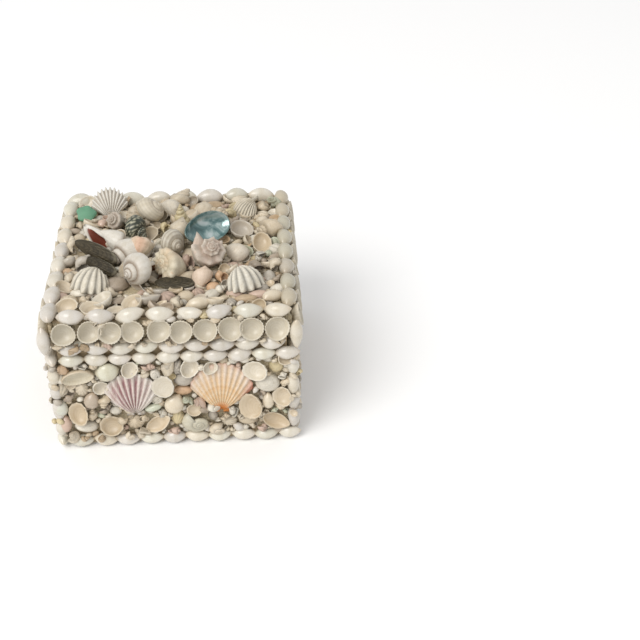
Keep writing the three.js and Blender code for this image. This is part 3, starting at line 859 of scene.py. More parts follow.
def lay(heap, side, x, z, out, spec, lean=6, fine=1.0):
    """Glues one small shell to a side: spec is its form, width, height, direction and colour."""
    shape, material = one_shell(*spec, fine=fine)
    put(heap, side, shape, material, OUTWARD @ tilt(lean), (x, BED_Y - out, z))


def course(heap, side, count, run, y, z, radius, tips=None, overlap=1.08, depth=2.0, bright=1.0):
    """A straight course of cowries, each a little out of line with its neighbours."""
    pitch = (run[1] - run[0]) / count
    shade = rgb(0.78, 0.76, 0.71) if side == RIGHT else 1  # the right side's cowries are painted darker: painted shade, as the light falls from the left
    for i in range(count):
        tip = tips[i] if tips else rng.normal(0, 5)
        long = pitch * overlap * rng.uniform(0.96, 1.03)
        tone = glossy_tone() * bright * shade
        wide = radius * COWRIE_GIRTH * rng.uniform(0.93, 1.06)
        bead = cowrie(long, wide, radius * depth, tone, around=16, rings=12)
        roll, yaw = rng.normal(0, 0.25), math.radians(rng.normal(0, 4))
        face = OUTWARD @ turn_x(roll) @ turn_z(math.radians(tip)) @ turn_y(yaw)
        at = (run[0] + (i + 0.5) * pitch + rng.normal(0, 0.3), y, z + rng.normal(0, 0.3))
        put(heap, side, bead, GLOSS, face, at)


def upright(heap, side, length, z, tip=0.0, out=CORNER_OUT):
    """A cowrie that stands at a side's right corner."""
    bead = cowrie(length, 10.4, 10.2, glossy_tone(), around=18, rings=15)
    face = turn_z(rng.random() * 3) @ turn_y(QUARTER + math.radians(tip))
    put(heap, side, bead, GLOSS, face, (out, -out, z), OUTERMOST + LID_OVERHANG)


def corner_column(heap, side, low, high, lengths):
    """Cowries end to end up a corner, with little shells over their joints."""
    z = low
    scale = (high - low) / sum(lengths)
    for length in lengths:
        upright(heap, side, length * scale + 1.5, z + length * scale / 2, rng.normal(0, 5))
        z += length * scale
        for aside in (-3, 3):
            size = rng.uniform(5.5, 8)
            shape, material = one_shell(
                filler_form(), size, size * rng.uniform(0.8, 1), 360 * rng.random(), fine=0.6)
            turn = turn_z(math.radians(45 + 12 * aside)) @ OUTWARD @ tilt(20)
            out = CORNER_OUT + 1.6
            put(heap, side, shape, material, turn, (out + aside * 0.4, -out + aside * 0.6, z))


CUP_COUNT = 10
CUP_PITCH = 2 * CUP_ROW_END / CUP_COUNT
CUP_LEANS = [12, -30, 20, 40, -10, 30, 0, -24, 10, -40]
RIDER_Z, RIDER_OUT = 103.5, 5.2
# Tiny shells over the joints of the course under the front's cups: across, up, size
FRONT_RIDERS = [
    (-86, 103, 11), (-77, 102, 10), (-68, 103.5, 8), (-49, 104, 8), (-31, 103, 8), (1, 104.5, 8),
    (-22, 103, 6), (26, 103, 6), (72, 103.5, 7), (86, 104, 7),
]


def one_cup(heap, side, number, overhang):
    """A cockle cup, mouth outward, leaning a little towards its own side."""
    size = rng.uniform(0.97, 1.08)
    base = rgb(0.63, 0.57, 0.46) * rng.uniform(0.92, 1.06)
    bowl = cup(19.8 * size, 19.4 * size * rng.uniform(0.92, 1.02), 10.4, ribs=24, rib=0.24, teeth=0.36,
               around=72, rings=7 if side == FRONT else 5, thick=0.8, base=base,
               inner=rgb(0.61, 0.56, 0.46) * rng.uniform(0.94, 1.06), umbo=0.7, lean=-0.10)
    bowl = bowl.moved(by=(0, 0, -bowl.box()[0][2]))
    hinge = turn_z(math.radians(rng.choice([-90, 90]) + rng.normal(0, 30)))
    towards = math.radians(90 + (CUP_LEANS[number] if side == FRONT else rng.normal(0, 25)))
    leaning = turn_z(towards) @ turn_y(math.radians(rng.uniform(10, 21))) @ turn_z(-towards)
    rise = 2.6 * (1 - number / CUP_COUNT) if side == FRONT else 1.3
    at = (-CUP_ROW_END + (number + 0.5) * CUP_PITCH, BED_Y + 0.1 - overhang,
          CUPS_Z + rise - 1.2 + rng.normal(0, 0.4))
    put(heap, side, bowl, CUPS, OUTWARD @ leaning @ hinge, at, OUTERMOST + overhang)


def between_cups(heap, side, overhang):
    """Small shells above and below the cups, larger ones at the cups' joints."""
    for i in range(CUP_COUNT * 2 + 1):
        at_joint = i % 2 == 0
        for up in (CUPS_Z + (11.0 if side == FRONT else 9.8), CUPS_Z - 8.8):
            x = -CUP_ROW_END + i * CUP_PITCH / 2 + rng.normal(0, 0.5)
            if abs(x) > CARCASS_HALF - 2:
                continue
            size = rng.uniform(6.5, 8.5) if at_joint else rng.uniform(4.5, 6)
            out = rng.uniform(0.2, 1.8) if at_joint else -0.4
            up += 0 if at_joint else math.copysign(1.6, up - CUPS_Z)
            lay(heap, side, x, up + rng.normal(0, 0.4), out + overhang,
                [filler_form(), size * 1.2, size * 0.85, 360 * rng.random()], 14, 0.5)


def cup_row(heap, side):
    """Ten cockle cups, mouths outward, on their strip of glue, and the corner's cowrie."""
    overhang = 0 if side == FRONT else LID_OVERHANG
    low = (-CUP_ROW_END, -91.9 - overhang, CUPS_Z - 8.4)
    heap.add(slab(low, (CORNER_OUT, WOOD_Y, CUPS_Z + 8.4), (1, -1)), GLUE, turn_z(side * QUARTER))
    for number in range(CUP_COUNT):
        one_cup(heap, side, number, overhang)
    between_cups(heap, side, overhang)
    every_other = [(-CUP_ROW_END + 17.9 * k + 9, RIDER_Z, 6.5) for k in range(1, 10, 2)]
    for x, z, size in FRONT_RIDERS if side == FRONT else every_other:
        tone = [SAND, CREAM, BLUSH, IVORY][rng.integers(4)]
        lay(heap, side, x, z, RIDER_OUT, ["conch", size, size * 0.8, 360 * rng.random(), tone], 12, 0.9)
    upright(heap, side, CORNER_LENGTH, CORNER_Z, out=LID_CORNER_OUT)


# ---- The two large scallops of each side ----


def pink_bands(t, across, wave):
    """White ribs over purple-pink grooves, freckled on the near side and white at the margin."""
    white, purple, rose = rgb(0.70, 0.65, 0.60), rgb(0.26, 0.09, 0.11), rgb(0.56, 0.34, 0.33)
    speck = np.clip(0.5 + 0.9 * np.sin(t * 46 + across * 23) * np.sin(across * 71 + t * 27), 0, 1)
    grooves = np.clip(0.28 - 1.2 * wave, 0, 1)
    middle = np.clip(1.35 - 1.5 * np.abs(across + 0.08), 0, 1) * np.clip((t - 0.06) * 4, 0, 1)
    middle = middle * (1 - np.clip((t - 0.82) / 0.16, 0, 1))
    freckles = np.clip(-(across + 0.30) * 3.5, 0, 1)
    tone = mix(white, rose, np.clip((0.25 + 0.45 * freckles * speck) * middle, 0, 1))
    stain = (grooves + 0.55 * freckles * speck) * middle * (0.6 + 0.4 * speck)
    return mix(tone, purple, np.clip(stain, 0, 0.9))


def orange_bands(t, across, wave):
    """Cream and pale orange rays, deep orange at the hinge and coral at the margin's ends."""
    cream, pale, amber = rgb(0.70, 0.56, 0.385), rgb(0.71, 0.60, 0.51), rgb(0.68, 0.40, 0.16)
    orange, coral = rgb(0.66, 0.24, 0.05), rgb(0.64, 0.25, 0.17)
    tone = mix(cream, pale, np.clip((t - 0.45) * 1.6 + 0.3 * wave, 0, 1))
    rays = np.clip(0.30 - 0.55 * wave, 0, 1) * np.clip(1.15 - t, 0, 1)
    tone = mix(tone, amber, np.clip(rays * 0.9, 0, 1))
    bands = [(0.40, 0.05, 0.35), (0.58, 0.05, 0.45), (0.74, 0.03, 0.25)]  # middle, width, depth
    rings = sum(np.exp(-(((t - middle) / width) ** 2)) * depth for middle, width, depth in bands)
    tone = mix(tone, amber, np.clip(rings, 0, 1))
    tone = mix(tone, orange, np.clip((0.30 - t) / 0.16, 0, 1) * 0.95)
    right = np.clip((across - 0.70) * 4, 0, 1) * np.clip((t - 0.5) * 3, 0, 1)
    rim = np.clip((t - 0.93) / 0.06, 0, 1) * 0.30
    tone = mix(tone, coral, np.clip(right * 0.85 + rim, 0, 0.85))
    # Painted shade: the grooves between the ribs are a little darker.
    return tone * (1 - 0.06 * np.clip(-wave, 0, 1))[..., None]


# White ribs, with painted shade in the grooves between them.
def fan_white(t, across, wave):
    return mix(rgb(0.72, 0.69, 0.63), rgb(0.36, 0.31, 0.26), np.clip(-wave, 0, 1) * 0.75)


LEFT_FAN = dict(across=-34, length=44, width=45, ribs=11, relief=1.6, paint=pink_bands, lean=3)
RIGHT_FAN = dict(across=36, length=50, width=51, ribs=13, relief=0.75, paint=orange_bands, lean=-3)
FANS = [LEFT_FAN, RIGHT_FAN]


def fan(heap, side, facts):
    shape = scallop(facts["length"], facts["width"], 8.2, facts["ribs"], facts["paint"], facts["relief"])
    round_to = turn_z(side * QUARTER)
    at = round_to @ np.array([facts["across"], BED_Y - 0.5, FAN_HINGE_Z])
    heap.add(shape, RIBBED, round_to @ OUTWARD @ turn_z(math.radians(facts["lean"])), at)


def clear_of_fans(across, up, size):
    """Slides a shell straight away from a fan that it would lie on."""
    for facts in FANS:
        middle = FAN_HINGE_Z + facts["length"] * 0.46
        reach = facts["width"] * 0.5 + size * 0.5
        distance = math.hypot(across - facts["across"], up - middle)
        if distance < reach:
            across = facts["across"] + (across - facts["across"]) * reach / distance
            up = middle + (up - middle) * reach / distance
    return across, up


def off_the_fans(x, z):
    """How much room places on a side have from the fans: plenty, or none."""
    covered = np.zeros(np.shape(x), bool)
    for facts in FANS:
        dx, dz = x - facts["across"], z - FAN_HINGE_Z
        reach = np.hypot(dx, dz)
        half_angle = 0.93 - 1 / (reach + 4)
        covered |= (np.abs(np.arctan2(dx, dz)) < half_angle) & (reach < facts["length"] - 1)
        covered |= np.hypot(dx, dz - 3) < 5
    return np.where(covered, COVERED, FAR_AWAY)


# ---- The sides of the base ----

# Shells of the front: across, up, how far out, form, width, height, towards, colour
FRONT_SHELLS = [
    (-77, 73, 0, "broad", 27, 17, -84, CREAM), (-87, 81, 3, "conch", 10, 9, 160, TAN),
    (-53, 76, 0, "ovoid", 20, 17, 8, rgb(0.64, 0.62, 0.50)), (-64, 82, 2, "conch", 9, 7, 30, CREAM),
    (-75, 58, 0, "cockle", 12, 15, -90, IVORY), (-60, 60, 0.5, "cup", 13, 13, -40, WHITE),
    (-68, 48, 0, "ovoid", 13, 17, 75, TAUPE), (-91, 59, 0, "lump", 11, 16, 90, IVORY),
    (-93, 41, 0, "cowrie", 11, 17, 90, rgb(0.58, 0.575, 0.50)), (-81, 37, 0.5, "cup", 16, 21, 120, CREAM),
    (-85, 52, 2, "conch", 10, 8, 200, TAUPE), (-69, 33, 0.5, "conch", 8, 14, 90, CREAM),
    (-59, 38, 0, "conch", 12, 10, 20, TAUPE), (-50, 35, 1, "clam", 11, 9, 0, WHITE),
    (-75, 20, 0.5, "clam", 21, 12, -20, WHITE), (-92, 24, 0, "cowrie", 10, 18, 85, BLUSH),
    (-87, 12, 1, "conch", 11, 14, 100, IVORY), (-79, 9, 3, "conch", 9, 8, 30, SAND),
    (-54, 22, 0.5, "cup", 20, 17, 90, CREAM * 0.92), (-45, 28, 3, "conch", 9, 8, 200, CREAM),
    (-35, 22, 0, "cockle", 16, 14, -90, CREAM), (-28, 30, 5, "moon", 7, 7, 0, CREAM),
    (-16, 22, 0.5, "leaf", 21, 17, 38, IVORY), (-40, 12, 4, "moon", 8, 8, 0, IVORY),
    (-63, 9, 3, "conch", 8, 14, 80, SAND), (-19, 38, 1, "cowrie", 15, 8, 48, rgb(0.56, 0.58, 0.47)),
    (-9, 61, 5, "cup", 19, 21, 128, WHITE), (-35, 79, 1, "cup", 14, 13, 60, WHITE),
    (-5, 79, 1, "conch", 11, 18, 100, IVORY), (-20, 80, 1, "conch", 13, 8, 10, BLUSH),
    (-23, 72, 1, "conch", 8, 10, 100, IVORY), (12, 78, 0.5, "cup", 16, 16, 60, WHITE),
    (3, 77, 0, "lump", 11, 15, 0, GREY), (7, 64, 0, "clam", 17, 14, -90, GREY),
    (30, 79, 3, "cup", 12, 11, 50, WHITE), (48, 83, 2, "lump", 9, 8, 0, WHITE),
    (65, 74, 1, "cup", 21, 17, 130, WHITE), (82, 74, 0, "clam", 13, 15, -90, YELLOW),
    (75, 58, 1, "clam", 22, 19, -60, WHITE), (87, 66, 2, "conch", 8, 7, 30, WHITE),
    (86, 47, 1, "cup", 16, 18, 130, IVORY), (75, 40, 0, "ovoid", 10, 17, 90, IVORY),
    (85, 34, 0, "cowrie", 10, 9, 0, CREAM), (59, 38, 2.5, "cup", 19, 26, 160, CREAM),
    (58, 20, 0, "clam", 18, 11, -90, CREAM), (81, 21, 1, "leaf", 23, 15, -20, CREAM * 0.95),
    (84, 9, 1, "clam", 13, 9, -90, TAUPE), (69, 14, 3.5, "conch", 9, 8, 0, BLUSH),
    (68, 28, 3, "conch", 8, 7, 0, IVORY), (42, 20, 0.5, "cockle", 14, 12, -60, IVORY),
    (38, 27, 3.5, "conch", 9, 7, 30, CREAM), (46, 31, 1, "conch", 8, 13, 80, WHITE),
    (29, 25, 0, "wedge", 9, 13, -80, GREY), (14, 22, 0, "moon", 22, 19, 0, rgb(0.60, 0.565, 0.45)),
    (0, 26, 0, "cockle", 12, 16, 60, YELLOW), (-3, 41, 0, "ovoid", 16, 19, 60, IVORY),
    (9, 44, 1, "conch", 9, 12, 110, PALE_GREEN), (19, 42, 2, "conch", 10, 11, 140, BLUSH),
    (14, 34, 0.5, "cup", 13, 10, 90, IVORY), (6, 53, 1, "wedge", 16, 9, 0, PEACH),
    (-4, 14, 3, "conch", 11, 7, 0, BLUSH), (-91, 70, -1, "ovoid", 9, 13, 90, WHITE),
    (26, 84, 0, "wedge", 12, 6, 0, GREY),
]


def side_shells(side):
    """Staggered courses of larger shells, for the sides that are set out by rule."""
    forms = ["clam", "cup", "conch", "cockle", "cup"]
    shells = []
    for row in range(4):
        for column in range(7):
            across = -77 + column * 24 + (row % 2) * 7 + 3 * chance(row + 7 * side, column)
            up = 22 + row * 17.5 + 2 * chance(column, row + 11 * side)
            form = forms[math.floor(len(forms) * chance(column + side, row * 3 + 1))]
            size = (17 + 2 * chance(row, column)) * 1.06
            towards = 360 * chance(row + side, column + 5)
            shells.append((across, up, 0, form, size, size * rng.uniform(0.78, 1.0), towards))
    return shells


def fill_gaps(taken, region, free, largest, least=1.3):
    """Places for fillers: again and again the widest gap that is left between the shells.

    free gives how far a place is from whatever else has to stay clear.
    """
    x0, x1, y0, y1 = region
    xs, ys = np.meshgrid(np.arange(x0, x1, 0.8), np.arange(y0, y1, 0.8))
    room = np.full(xs.shape, float(largest))
    for x, y, reach_x, reach_y in taken:
        apart = np.hypot((xs - x) / reach_x, (ys - y) / reach_y)
        room = np.minimum(room, (apart - 1) * min(reach_x, reach_y))
    room = np.minimum(room, free(xs, ys))
    spots = []
    while True:
        widest = int(np.argmax(room))
        gap = room.flat[widest]
        if gap < least:
            return spots
        x, y = xs.flat[widest], ys.flat[widest]
        size = max(min(2.4 * gap, rng.uniform(0.55, 1) * largest), 4.6)
        spots.append((x, y, size))
        room = np.minimum(room, np.hypot(xs - x, ys - y) - size * 0.42)


def room_on_side(across, up, wide):
    """Whether a shell that is set out by rule fits on the side's bed."""
    reach = wide * 0.44
    beside = abs(across) + reach * 0.9 > CARCASS_HALF + 1
    return not (beside or up - reach < BED_LOW - 3 or up + reach > BED_HIGH + 4)


def side_mosaic(heap, side):
    bed = slab((-CARCASS_HALF + 1, BED_Y, BED_LOW), (CORNER_OUT - 2, WOOD_Y, BED_HIGH), (1, -1))
    heap.add(bed, GLUE, turn_z(side * QUARTER))
    by_hand = side == FRONT
    lean, fine = (5, 0.9) if by_hand else (8, 0.8)
    taken = []
    for across, up, out, *spec in FRONT_SHELLS if by_hand else side_shells(side):
        wide, deep = spec[1:3]
        if not by_hand:
            across, up = clear_of_fans(across, up, wide * 0.94)
            if not room_on_side(across, up, wide):
                continue
        lay(heap, side, across, up, out - 0.4, spec, lean, fine)
        taken.append([across, up, wide * 0.46, deep * 0.46])
    region = (-CARCASS_HALF + 1, CORNER_OUT - 5, BED_LOW + 0.5, BED_HIGH + 1)
    for x, z, size in fill_gaps(taken, region, off_the_fans, 14):
        spec = [filler_form(), size * rng.uniform(1.0, 1.25), size * rng.uniform(0.85, 1.05),
                360 * rng.random()]
        out = rng.uniform(-0.3, 1.2) + (1.5 if size < 6 else 0)
        lay(heap, side, x, z, out, spec, 16, 0.64 if size > 8 else 0.50)
    corner_column(heap, side, BED_LOW, BED_HIGH, [19, 15, 21, 16] if by_hand else [20, 24, 17, 22])


CREST_TIPS = [0, -4, 16, 4, 25, 12, 1, 14]

for side, label in enumerate(SIDES):
    crest_run = (-LID_HALF, FRONT_CREST_END if side == FRONT else CREST_END)
    crest_y = -CREST_OUT + (0.8 if side == BACK else 0)
    crest_radius = BACK_CREST_RADIUS if side == BACK else CREST_RADIUS
    crest_depth = 2.4 if side in (RIGHT, LEFT) else 2.0
    crest_tips = CREST_TIPS if side == FRONT else None
    make_piece(f"base_foot_{label}", "white_shell", course, side, 10, BASE_RUN, -COURSE_OUT, FOOT_Z,
               FOOT_RADIUS, bright=1.09)
    make_piece(f"base_crest_{label}", "white_shell", course, side, 10, BASE_RUN, -COURSE_OUT, BASE_CREST_Z,
               COURSE_RADIUS)
    make_piece(f"lid_foot_{label}", "white_shell", course, side, 9, LID_FOOT_RUN, -COURSE_OUT, LID_FOOT_Z,
               COURSE_RADIUS)
    make_piece(f"lid_crest_{label}", "white_shell", course, side, 8, crest_run, crest_y, CREST_Z,
               crest_radius, tips=crest_tips, overlap=1.04, depth=crest_depth)
    make_piece(f"lid_cups_{label}", "cream_shell", cup_row, side)
    make_piece(f"base_mosaic_{label}", "mixed_shell", side_mosaic, side)
    make_piece(f"scallop_left_{label}", "pink_scallop", fan, side, LEFT_FAN)
    make_piece(f"scallop_right_{label}", "orange_scallop", fan, side, RIGHT_FAN)

# ---- The posy ----

FOOTPRINTS = []  # middle and spread of each large shell, seen from above


def set_down(name, shape, turn, material, slot, grow=1.0, shift=(0, 0, 0)):
    """The piece of a shape turned, scaled to the size of its CAD node, and set in its place."""
    low, high = (np.array(corner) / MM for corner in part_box(name))
    turned = [one.moved(turn) for one in (shape if isinstance(shape, list) else [shape])]
    lowest = np.min([one.verts.min(0) for one in turned], 0)
    highest = np.max([one.verts.max(0) for one in turned], 0)
    scale = grow * np.exp(np.log((high - low) / (highest - lowest)).mean())
    middle = (low + high) / 2 - scale * (lowest + highest) / 2 + shift
    placed = [one.moved(None, middle, scale) for one in turned]
    flat = np.vstack([one.verts[:, :2] for one in placed])
    FOOTPRINTS.append((flat.mean(0), np.cov(flat.T)))
    heap = Heap(name + "_shell")
    heap.add(placed, material)
    heap.build(name)


def tipped(name, shape, angles, material, slot, spin=0, **place):
    """A shell spun about Z and then tipped about X, Y and Z, in degrees."""
    a, b, c = np.radians(angles)
    turn = turn_z(c) @ turn_y(b) @ turn_x(a) @ turn_z(math.radians(spin))
    set_down(name, shape, turn, material, slot, **place)


def ark(name, ribs, base, angles, **place):
    """A deeply ribbed valve. The arks lie along Y in the CAD model, and a valve along X."""
    # Its deep grooves carry strong painted shade.
    shape = valve(27, 34, 17, ribs=ribs, rib=1.25, teeth=1.2, around=ribs * 6, rings=32, thick=1.5,
                  beads=0.32, base=base, inner=base * 0.8, groove=0.36, umbo=0.86, lean=0.20, bands=0.07)
    tipped(name, shape, angles, RIBBED, "cream_shell", 90, **place)


tipped("ark_shell_back_left", scallop(31, 33, 9, 12, fan_white, 1.35, thick=1.1, spiky=0.035),
       (52, 0, 8), RIBBED, "cream_shell", shift=(0, 0, -2))
ark("ark_shell_front_left", 14, rgb(0.72, 0.67, 0.57), (12, 0, 156), grow=1.06, shift=(0, 2, 1))
ark("ark_shell_front_right", 13, rgb(0.74, 0.70, 0.61), (12, 0, 205), grow=1.06, shift=(0, 1, 1))
ark("ark_shell_back_right", 22, rgb(0.66, 0.60, 0.49), (0, 0, 115))


def glass_tablet():
    """A rounded tablet with five soft corners."""
    level = np.linspace(0.08, 0.92, 9)[:, None] * math.pi
    psi = TAU * np.arange(42) / 42
    corner = 1 + 0.07 * np.cos(5 * psi + 0.6) + 0.04 * np.cos(3 * psi)
    flat = np.sin(level) ** 0.45
    x = flat * np.cos(psi) * corner * 9.2
    y = flat * np.sin(psi) * corner * 9.0
    z = -np.cos(level) * 2.6 + 0.3 * np.sin(psi * 2)
    return loft(np.stack([x, y, z], -1), WHITE, start=(0, 0, -2.7), end=(0, 0, 2.7))


tipped("sea_glass", glass_tablet(), (30, 0, 20), SEA_GLASS, "sea_glass", shift=(0, 0, 3))


def speckles(theta, alpha, pulse):
    checks = np.sin(theta * 17 + 2.2 * np.sin(alpha * 3)) * np.sin(alpha * 12 + 1.7 * np.sin(theta * 5))
    pale = np.clip((checks - 0.30) * 6, 0, 1) * 0.9
    return mix(rgb(0.035, 0.042, 0.028), rgb(0.56, 0.54, 0.40), pale)


def blushed(base, tint, amount=0.7):
    """Paints a coil with clouds of a tint, and its knobs paler."""
    def paint(theta, alpha, pulse):
        wave = 0.5 + 0.5 * np.sin(theta * 2.3 + np.cos(alpha) * 1.3)
        tone = mix(base, tint, np.clip(wave * amount, 0, 1))
        return mix(tone, np.clip(base * 1.10, 0, 0.85), np.clip(pulse, 0, 1) * 0.8)

    return paint


def spiral_lines(base, tint, count):
    """Paints a coil with lines that run along its whorls."""
    def paint(theta, alpha, pulse):
        return mix(base, tint, (0.5 + 0.5 * np.cos(alpha * count)) ** 2)

    return paint


BROWN = rgb(0.22, 0.055, 0.03)
WHELK_WHITE = rgb(0.69, 0.655, 0.59)
# the colour of a whelk's suture line and of the painted shade beside it
SUTURE = rgb(0.25, 0.19, 0.14)


def coiled(name, material, slot, axis, place, form, grow=1.0, shift=(0, 0, 0), left_handed=False, **more):
    """A coiled shell of the posy. Its apex's and mouth's directions are as seen from the front."""
    shape = coil(**{**form, **more})
    turn = aimed(seen(*axis), seen(*place))
    if left_handed:
        shape = shape.moved(np.diag([-1, 1, 1]))
        shape.quads, shape.tris = shape.quads[:, ::-1], shape.tris[:, ::-1]
        turn = turn @ turn_z(math.pi)
    set_down(name, shape, turn, material, slot, grow, shift)


WHELK = dict(turns=4.6, growth=1.70, rc=0.38, a=0.50, b=0.62, zc=1.55, shoulder=0.10,
             per_turn=34, around=30)
KNOBBY = dict(turns=4, growth=1.85, rc=0.40, a=0.50, b=0.64, zc=1.25, shoulder=0.18,
              per_turn=36, around=30)
ROUND = dict(turns=4.4, growth=1.85, rc=0.42, a=0.56, b=0.62, zc=1.20, per_turn=36, around=32)
SPIRE = dict(turns=6, growth=1.5, rc=0.36, a=0.44, b=0.52, zc=2.1, per_turn=26, around=24)

coiled("long_whelk", WHELK_SKIN, "whelk", (0.92, -0.48, 0.0), (-0.4, -0.75, 0.15), WHELK, 1.15,
       (9, -16, 2), canal=0.75, pull=0.34, base=WHELK_WHITE, seam=SUTURE * 1.5, mouth=BROWN,
       ridges=6, flare=0.14)
coiled("white_whelk", WHELK_SKIN, "whelk", (-0.80, -0.45, 0.45), (0.6, -0.8, 0.24), WHELK, 1.22,
       (8, -1, 0), zc=1.4, canal=0.5, pull=0.3, base=WHELK_WHITE * 1.02, seam=SUTURE, mouth=BROWN,
       line=0.17)
coiled("round_whelk", WHELK_SKIN, "whelk", (-0.62, -0.30, 0.74), (0.3, -1, 0.25), ROUND, 1.32,
       (6, -4, 1), left_handed=True, canal=0.08, pull=0.08, shoulder=0.06, base=WHELK_WHITE, seam=SUTURE,
       mouth=rgb(0.16, 0.07, 0.025), flare=0.20, line=0.17)
coiled("rough_whelk", ROUGH_SKIN, "pink_whelk", (-0.5, 0.1, 0.8), (-0.8, 0.6, 0), KNOBBY, 1.12,
       (-1, 0, 3), growth=1.75, canal=0.5, pull=0.3, knobs=9, knob=0.12, cords=7, cord=0.03,
       seam=rgb(0.36, 0.29, 0.23), paint=blushed(rgb(0.62, 0.565, 0.49), rgb(0.50, 0.42, 0.36)))
coiled("mottled_top_shell", WHELK_SKIN, "mottled", (0.85, -0.55, 0.35), (0.2, -0.4, -1), ROUND, 1.42,
       (-3, 2, 2), growth=1.95, zc=1.3, base=rgb(0.05, 0.05, 0.04), seam=rgb(0.03, 0.03, 0.02),
       cords=9, cord=0.02, paint=speckles, mouth=rgb(0.4, 0.38, 0.32))
coiled("vase_shell", ROUGH_SKIN, "cream_shell", (-0.62, 0.05, 0.74), (0.3, -1, 0), KNOBBY, 1.08, (0, 1, 0),
       zc=0.80, canal=0.45, pull=0.30, shoulder=0.24, knobs=12, knob=0.15, per_turn=46,
       base=rgb(0.68, 0.61, 0.48), seam=rgb(0.46, 0.38, 0.25), mouth=rgb(0.66, 0.53, 0.38),
       paint=blushed(rgb(0.69, 0.63, 0.50), rgb(0.66, 0.46, 0.28), 0.55))
coiled("grooved_turban", WHELK_SKIN, "mixed_shell", (0.66, -0.30, 0.60), (-0.7, -0.5, -0.3), ROUND, 1.25,
       (-2, -5, -1), growth=2.0, zc=1.15, rc=0.44, a=0.62, around=72, cords=13, cord=0.030,
       base=rgb(0.62, 0.57, 0.46), seam=rgb(0.36, 0.30, 0.22),
       paint=spiral_lines(rgb(0.66, 0.62, 0.52), rgb(0.36, 0.31, 0.25), 13))
coiled("murex", ROUGH_SKIN, "pink_whelk", (0.25, 0.35, 0.85), (-0.6, 0.8, 0), KNOBBY, 1.1, (0, -5, -3),
       zc=1.15, canal=0.5, pull=0.3, knobs=8, knob=0.19, cords=8, cord=0.04, base=rgb(0.64, 0.56, 0.47),
       seam=rgb(0.42, 0.32, 0.25), mouth=rgb(0.62, 0.51, 0.43),
       paint=blushed(rgb(0.66, 0.60, 0.52), rgb(0.58, 0.44, 0.37)))
coiled("pink_whelk", ROUGH_SKIN, "pink_whelk", (0.35, 0.85, -0.20), (-0.5, -0.6, -0.6), KNOBBY, 1.2,
       (-4, -2, 4), growth=1.9, zc=1.0, canal=0.35, pull=0.25, shoulder=0.24, knobs=6, knob=0.09,
       base=rgb(0.63, 0.50, 0.42), seam=rgb(0.5, 0.3, 0.24), mouth=rgb(0.48, 0.16, 0.10),
       paint=blushed(rgb(0.67, 0.59, 0.46), rgb(0.62, 0.40, 0.28), 0.9))
coiled("peach_whelk", WHELK_SKIN, "pink_whelk", (0.05, 0.75, -0.35), (-0.9, 0.2, -0.1), WHELK, 1.0,
       (0, 1, 0), growth=1.9, zc=1.2, canal=0.4, pull=0.25, base=rgb(0.66, 0.53, 0.42),
       seam=rgb(0.46, 0.31, 0.21), mouth=rgb(0.46, 0.20, 0.09))
coiled("moon_shell_back", WHELK_SKIN, "cream_shell", (0.7, 0.5, 0.3), (-0.5, -0.5, -1), ROUND, 1.22,
       (0, 0, 1), growth=2.1, zc=0.95, a=0.60, base=rgb(0.62, 0.56, 0.45), seam=rgb(0.50, 0.42, 0.32),
       mouth=rgb(0.5, 0.38, 0.25), cords=16, cord=0.006)
coiled("spired_shell", WHELK_SKIN, "cream_shell", (0, 0.82, 0.57), (0, -0.5, 0.8), SPIRE,
       canal=0.2, pull=0.15, knobs=9, knob=0.07, base=rgb(0.62, 0.54, 0.35), seam=rgb(0.42, 0.34, 0.2))


def streaked(base):
    """Paints a mussel's blade with pale streaks along it and a paler edge."""
    def paint(grow, psi, wave):
        streak = np.clip(np.sin(psi * 9 + grow * 2) * np.sin(psi * 23), 0, 1) ** 2
        tone = mix(base, rgb(0.42, 0.38, 0.28), np.clip(0.35 * streak, 0, 1))
        return mix(tone, rgb(0.50, 0.46, 0.36), 0.6 * np.clip((grow - 0.93) / 0.07, 0, 1))

    return paint


def mussel(name, length, width, depth, base, angles, **place):
    """Two blades, back to back."""
    blade = valve(length, width, depth, umbo=0.93, around=60, rings=14, thick=0.9, base=base,
                  inner=rgb(0.50, 0.49, 0.44), bands=0.30, paint=streaked(base))
    tipped(name, [blade, blade.moved(turn_x(math.pi))], angles, MUSSEL, "mussel", **place)


OLIVE = rgb(0.062, 0.048, 0.027)
mussel("long_mussel", 46, 12, 3.2, OLIVE * 1.1, (55, 0, -42), grow=1.12, shift=(-1, 3, 6))
mussel("small_mussel", 36, 10, 3, OLIVE * 0.85, (45, 0, -42), grow=1.15, shift=(0, 0, 5))
mussel("broad_mussel", 36, 14, 2.5, OLIVE, (14, 0, -4), shift=(0, 6, 4))


def abalone():
    """A shallow bowl whose inside alone is pearly: a growth of 2 and more is the inside."""
    bowl = cup(44, 26, 9, umbo=0.75, around=72, rings=14, thick=1.1, base=rgb(0.62, 0.53, 0.45),
               inner=rgb(0.92, 0.92, 0.92))
    bowl.tone[bowl.growth[:, 0] <= 1.6] = rgb(0.95, 0.90, 0.86)
    tipped("abalone", bowl, (50, 0, 34), NACRE, "abalone", shift=(0, 2, 5))


abalone()


def smooth_valve(name, slot, length, width, depth, angles, base):
    shape = valve(length, width, depth, around=60, rings=14, thick=1.1, base=base, bands=0.10)
    tipped(name, shape, angles, SATIN, slot)


smooth_valve("moon_shell_middle", "cream_shell", 30, 26, 14, (24, 0, 100), rgb(0.68, 0.62, 0.52))
smooth_valve("white_cone", "white_shell", 26, 20, 13, (22, -22, -50), rgb(0.68, 0.61, 0.51))
smooth_valve("cream_clam", "cream_shell", 26, 22, 10, (0, 0, 60), rgb(0.66, 0.58, 0.46))

# ---- The lid's carpet ----

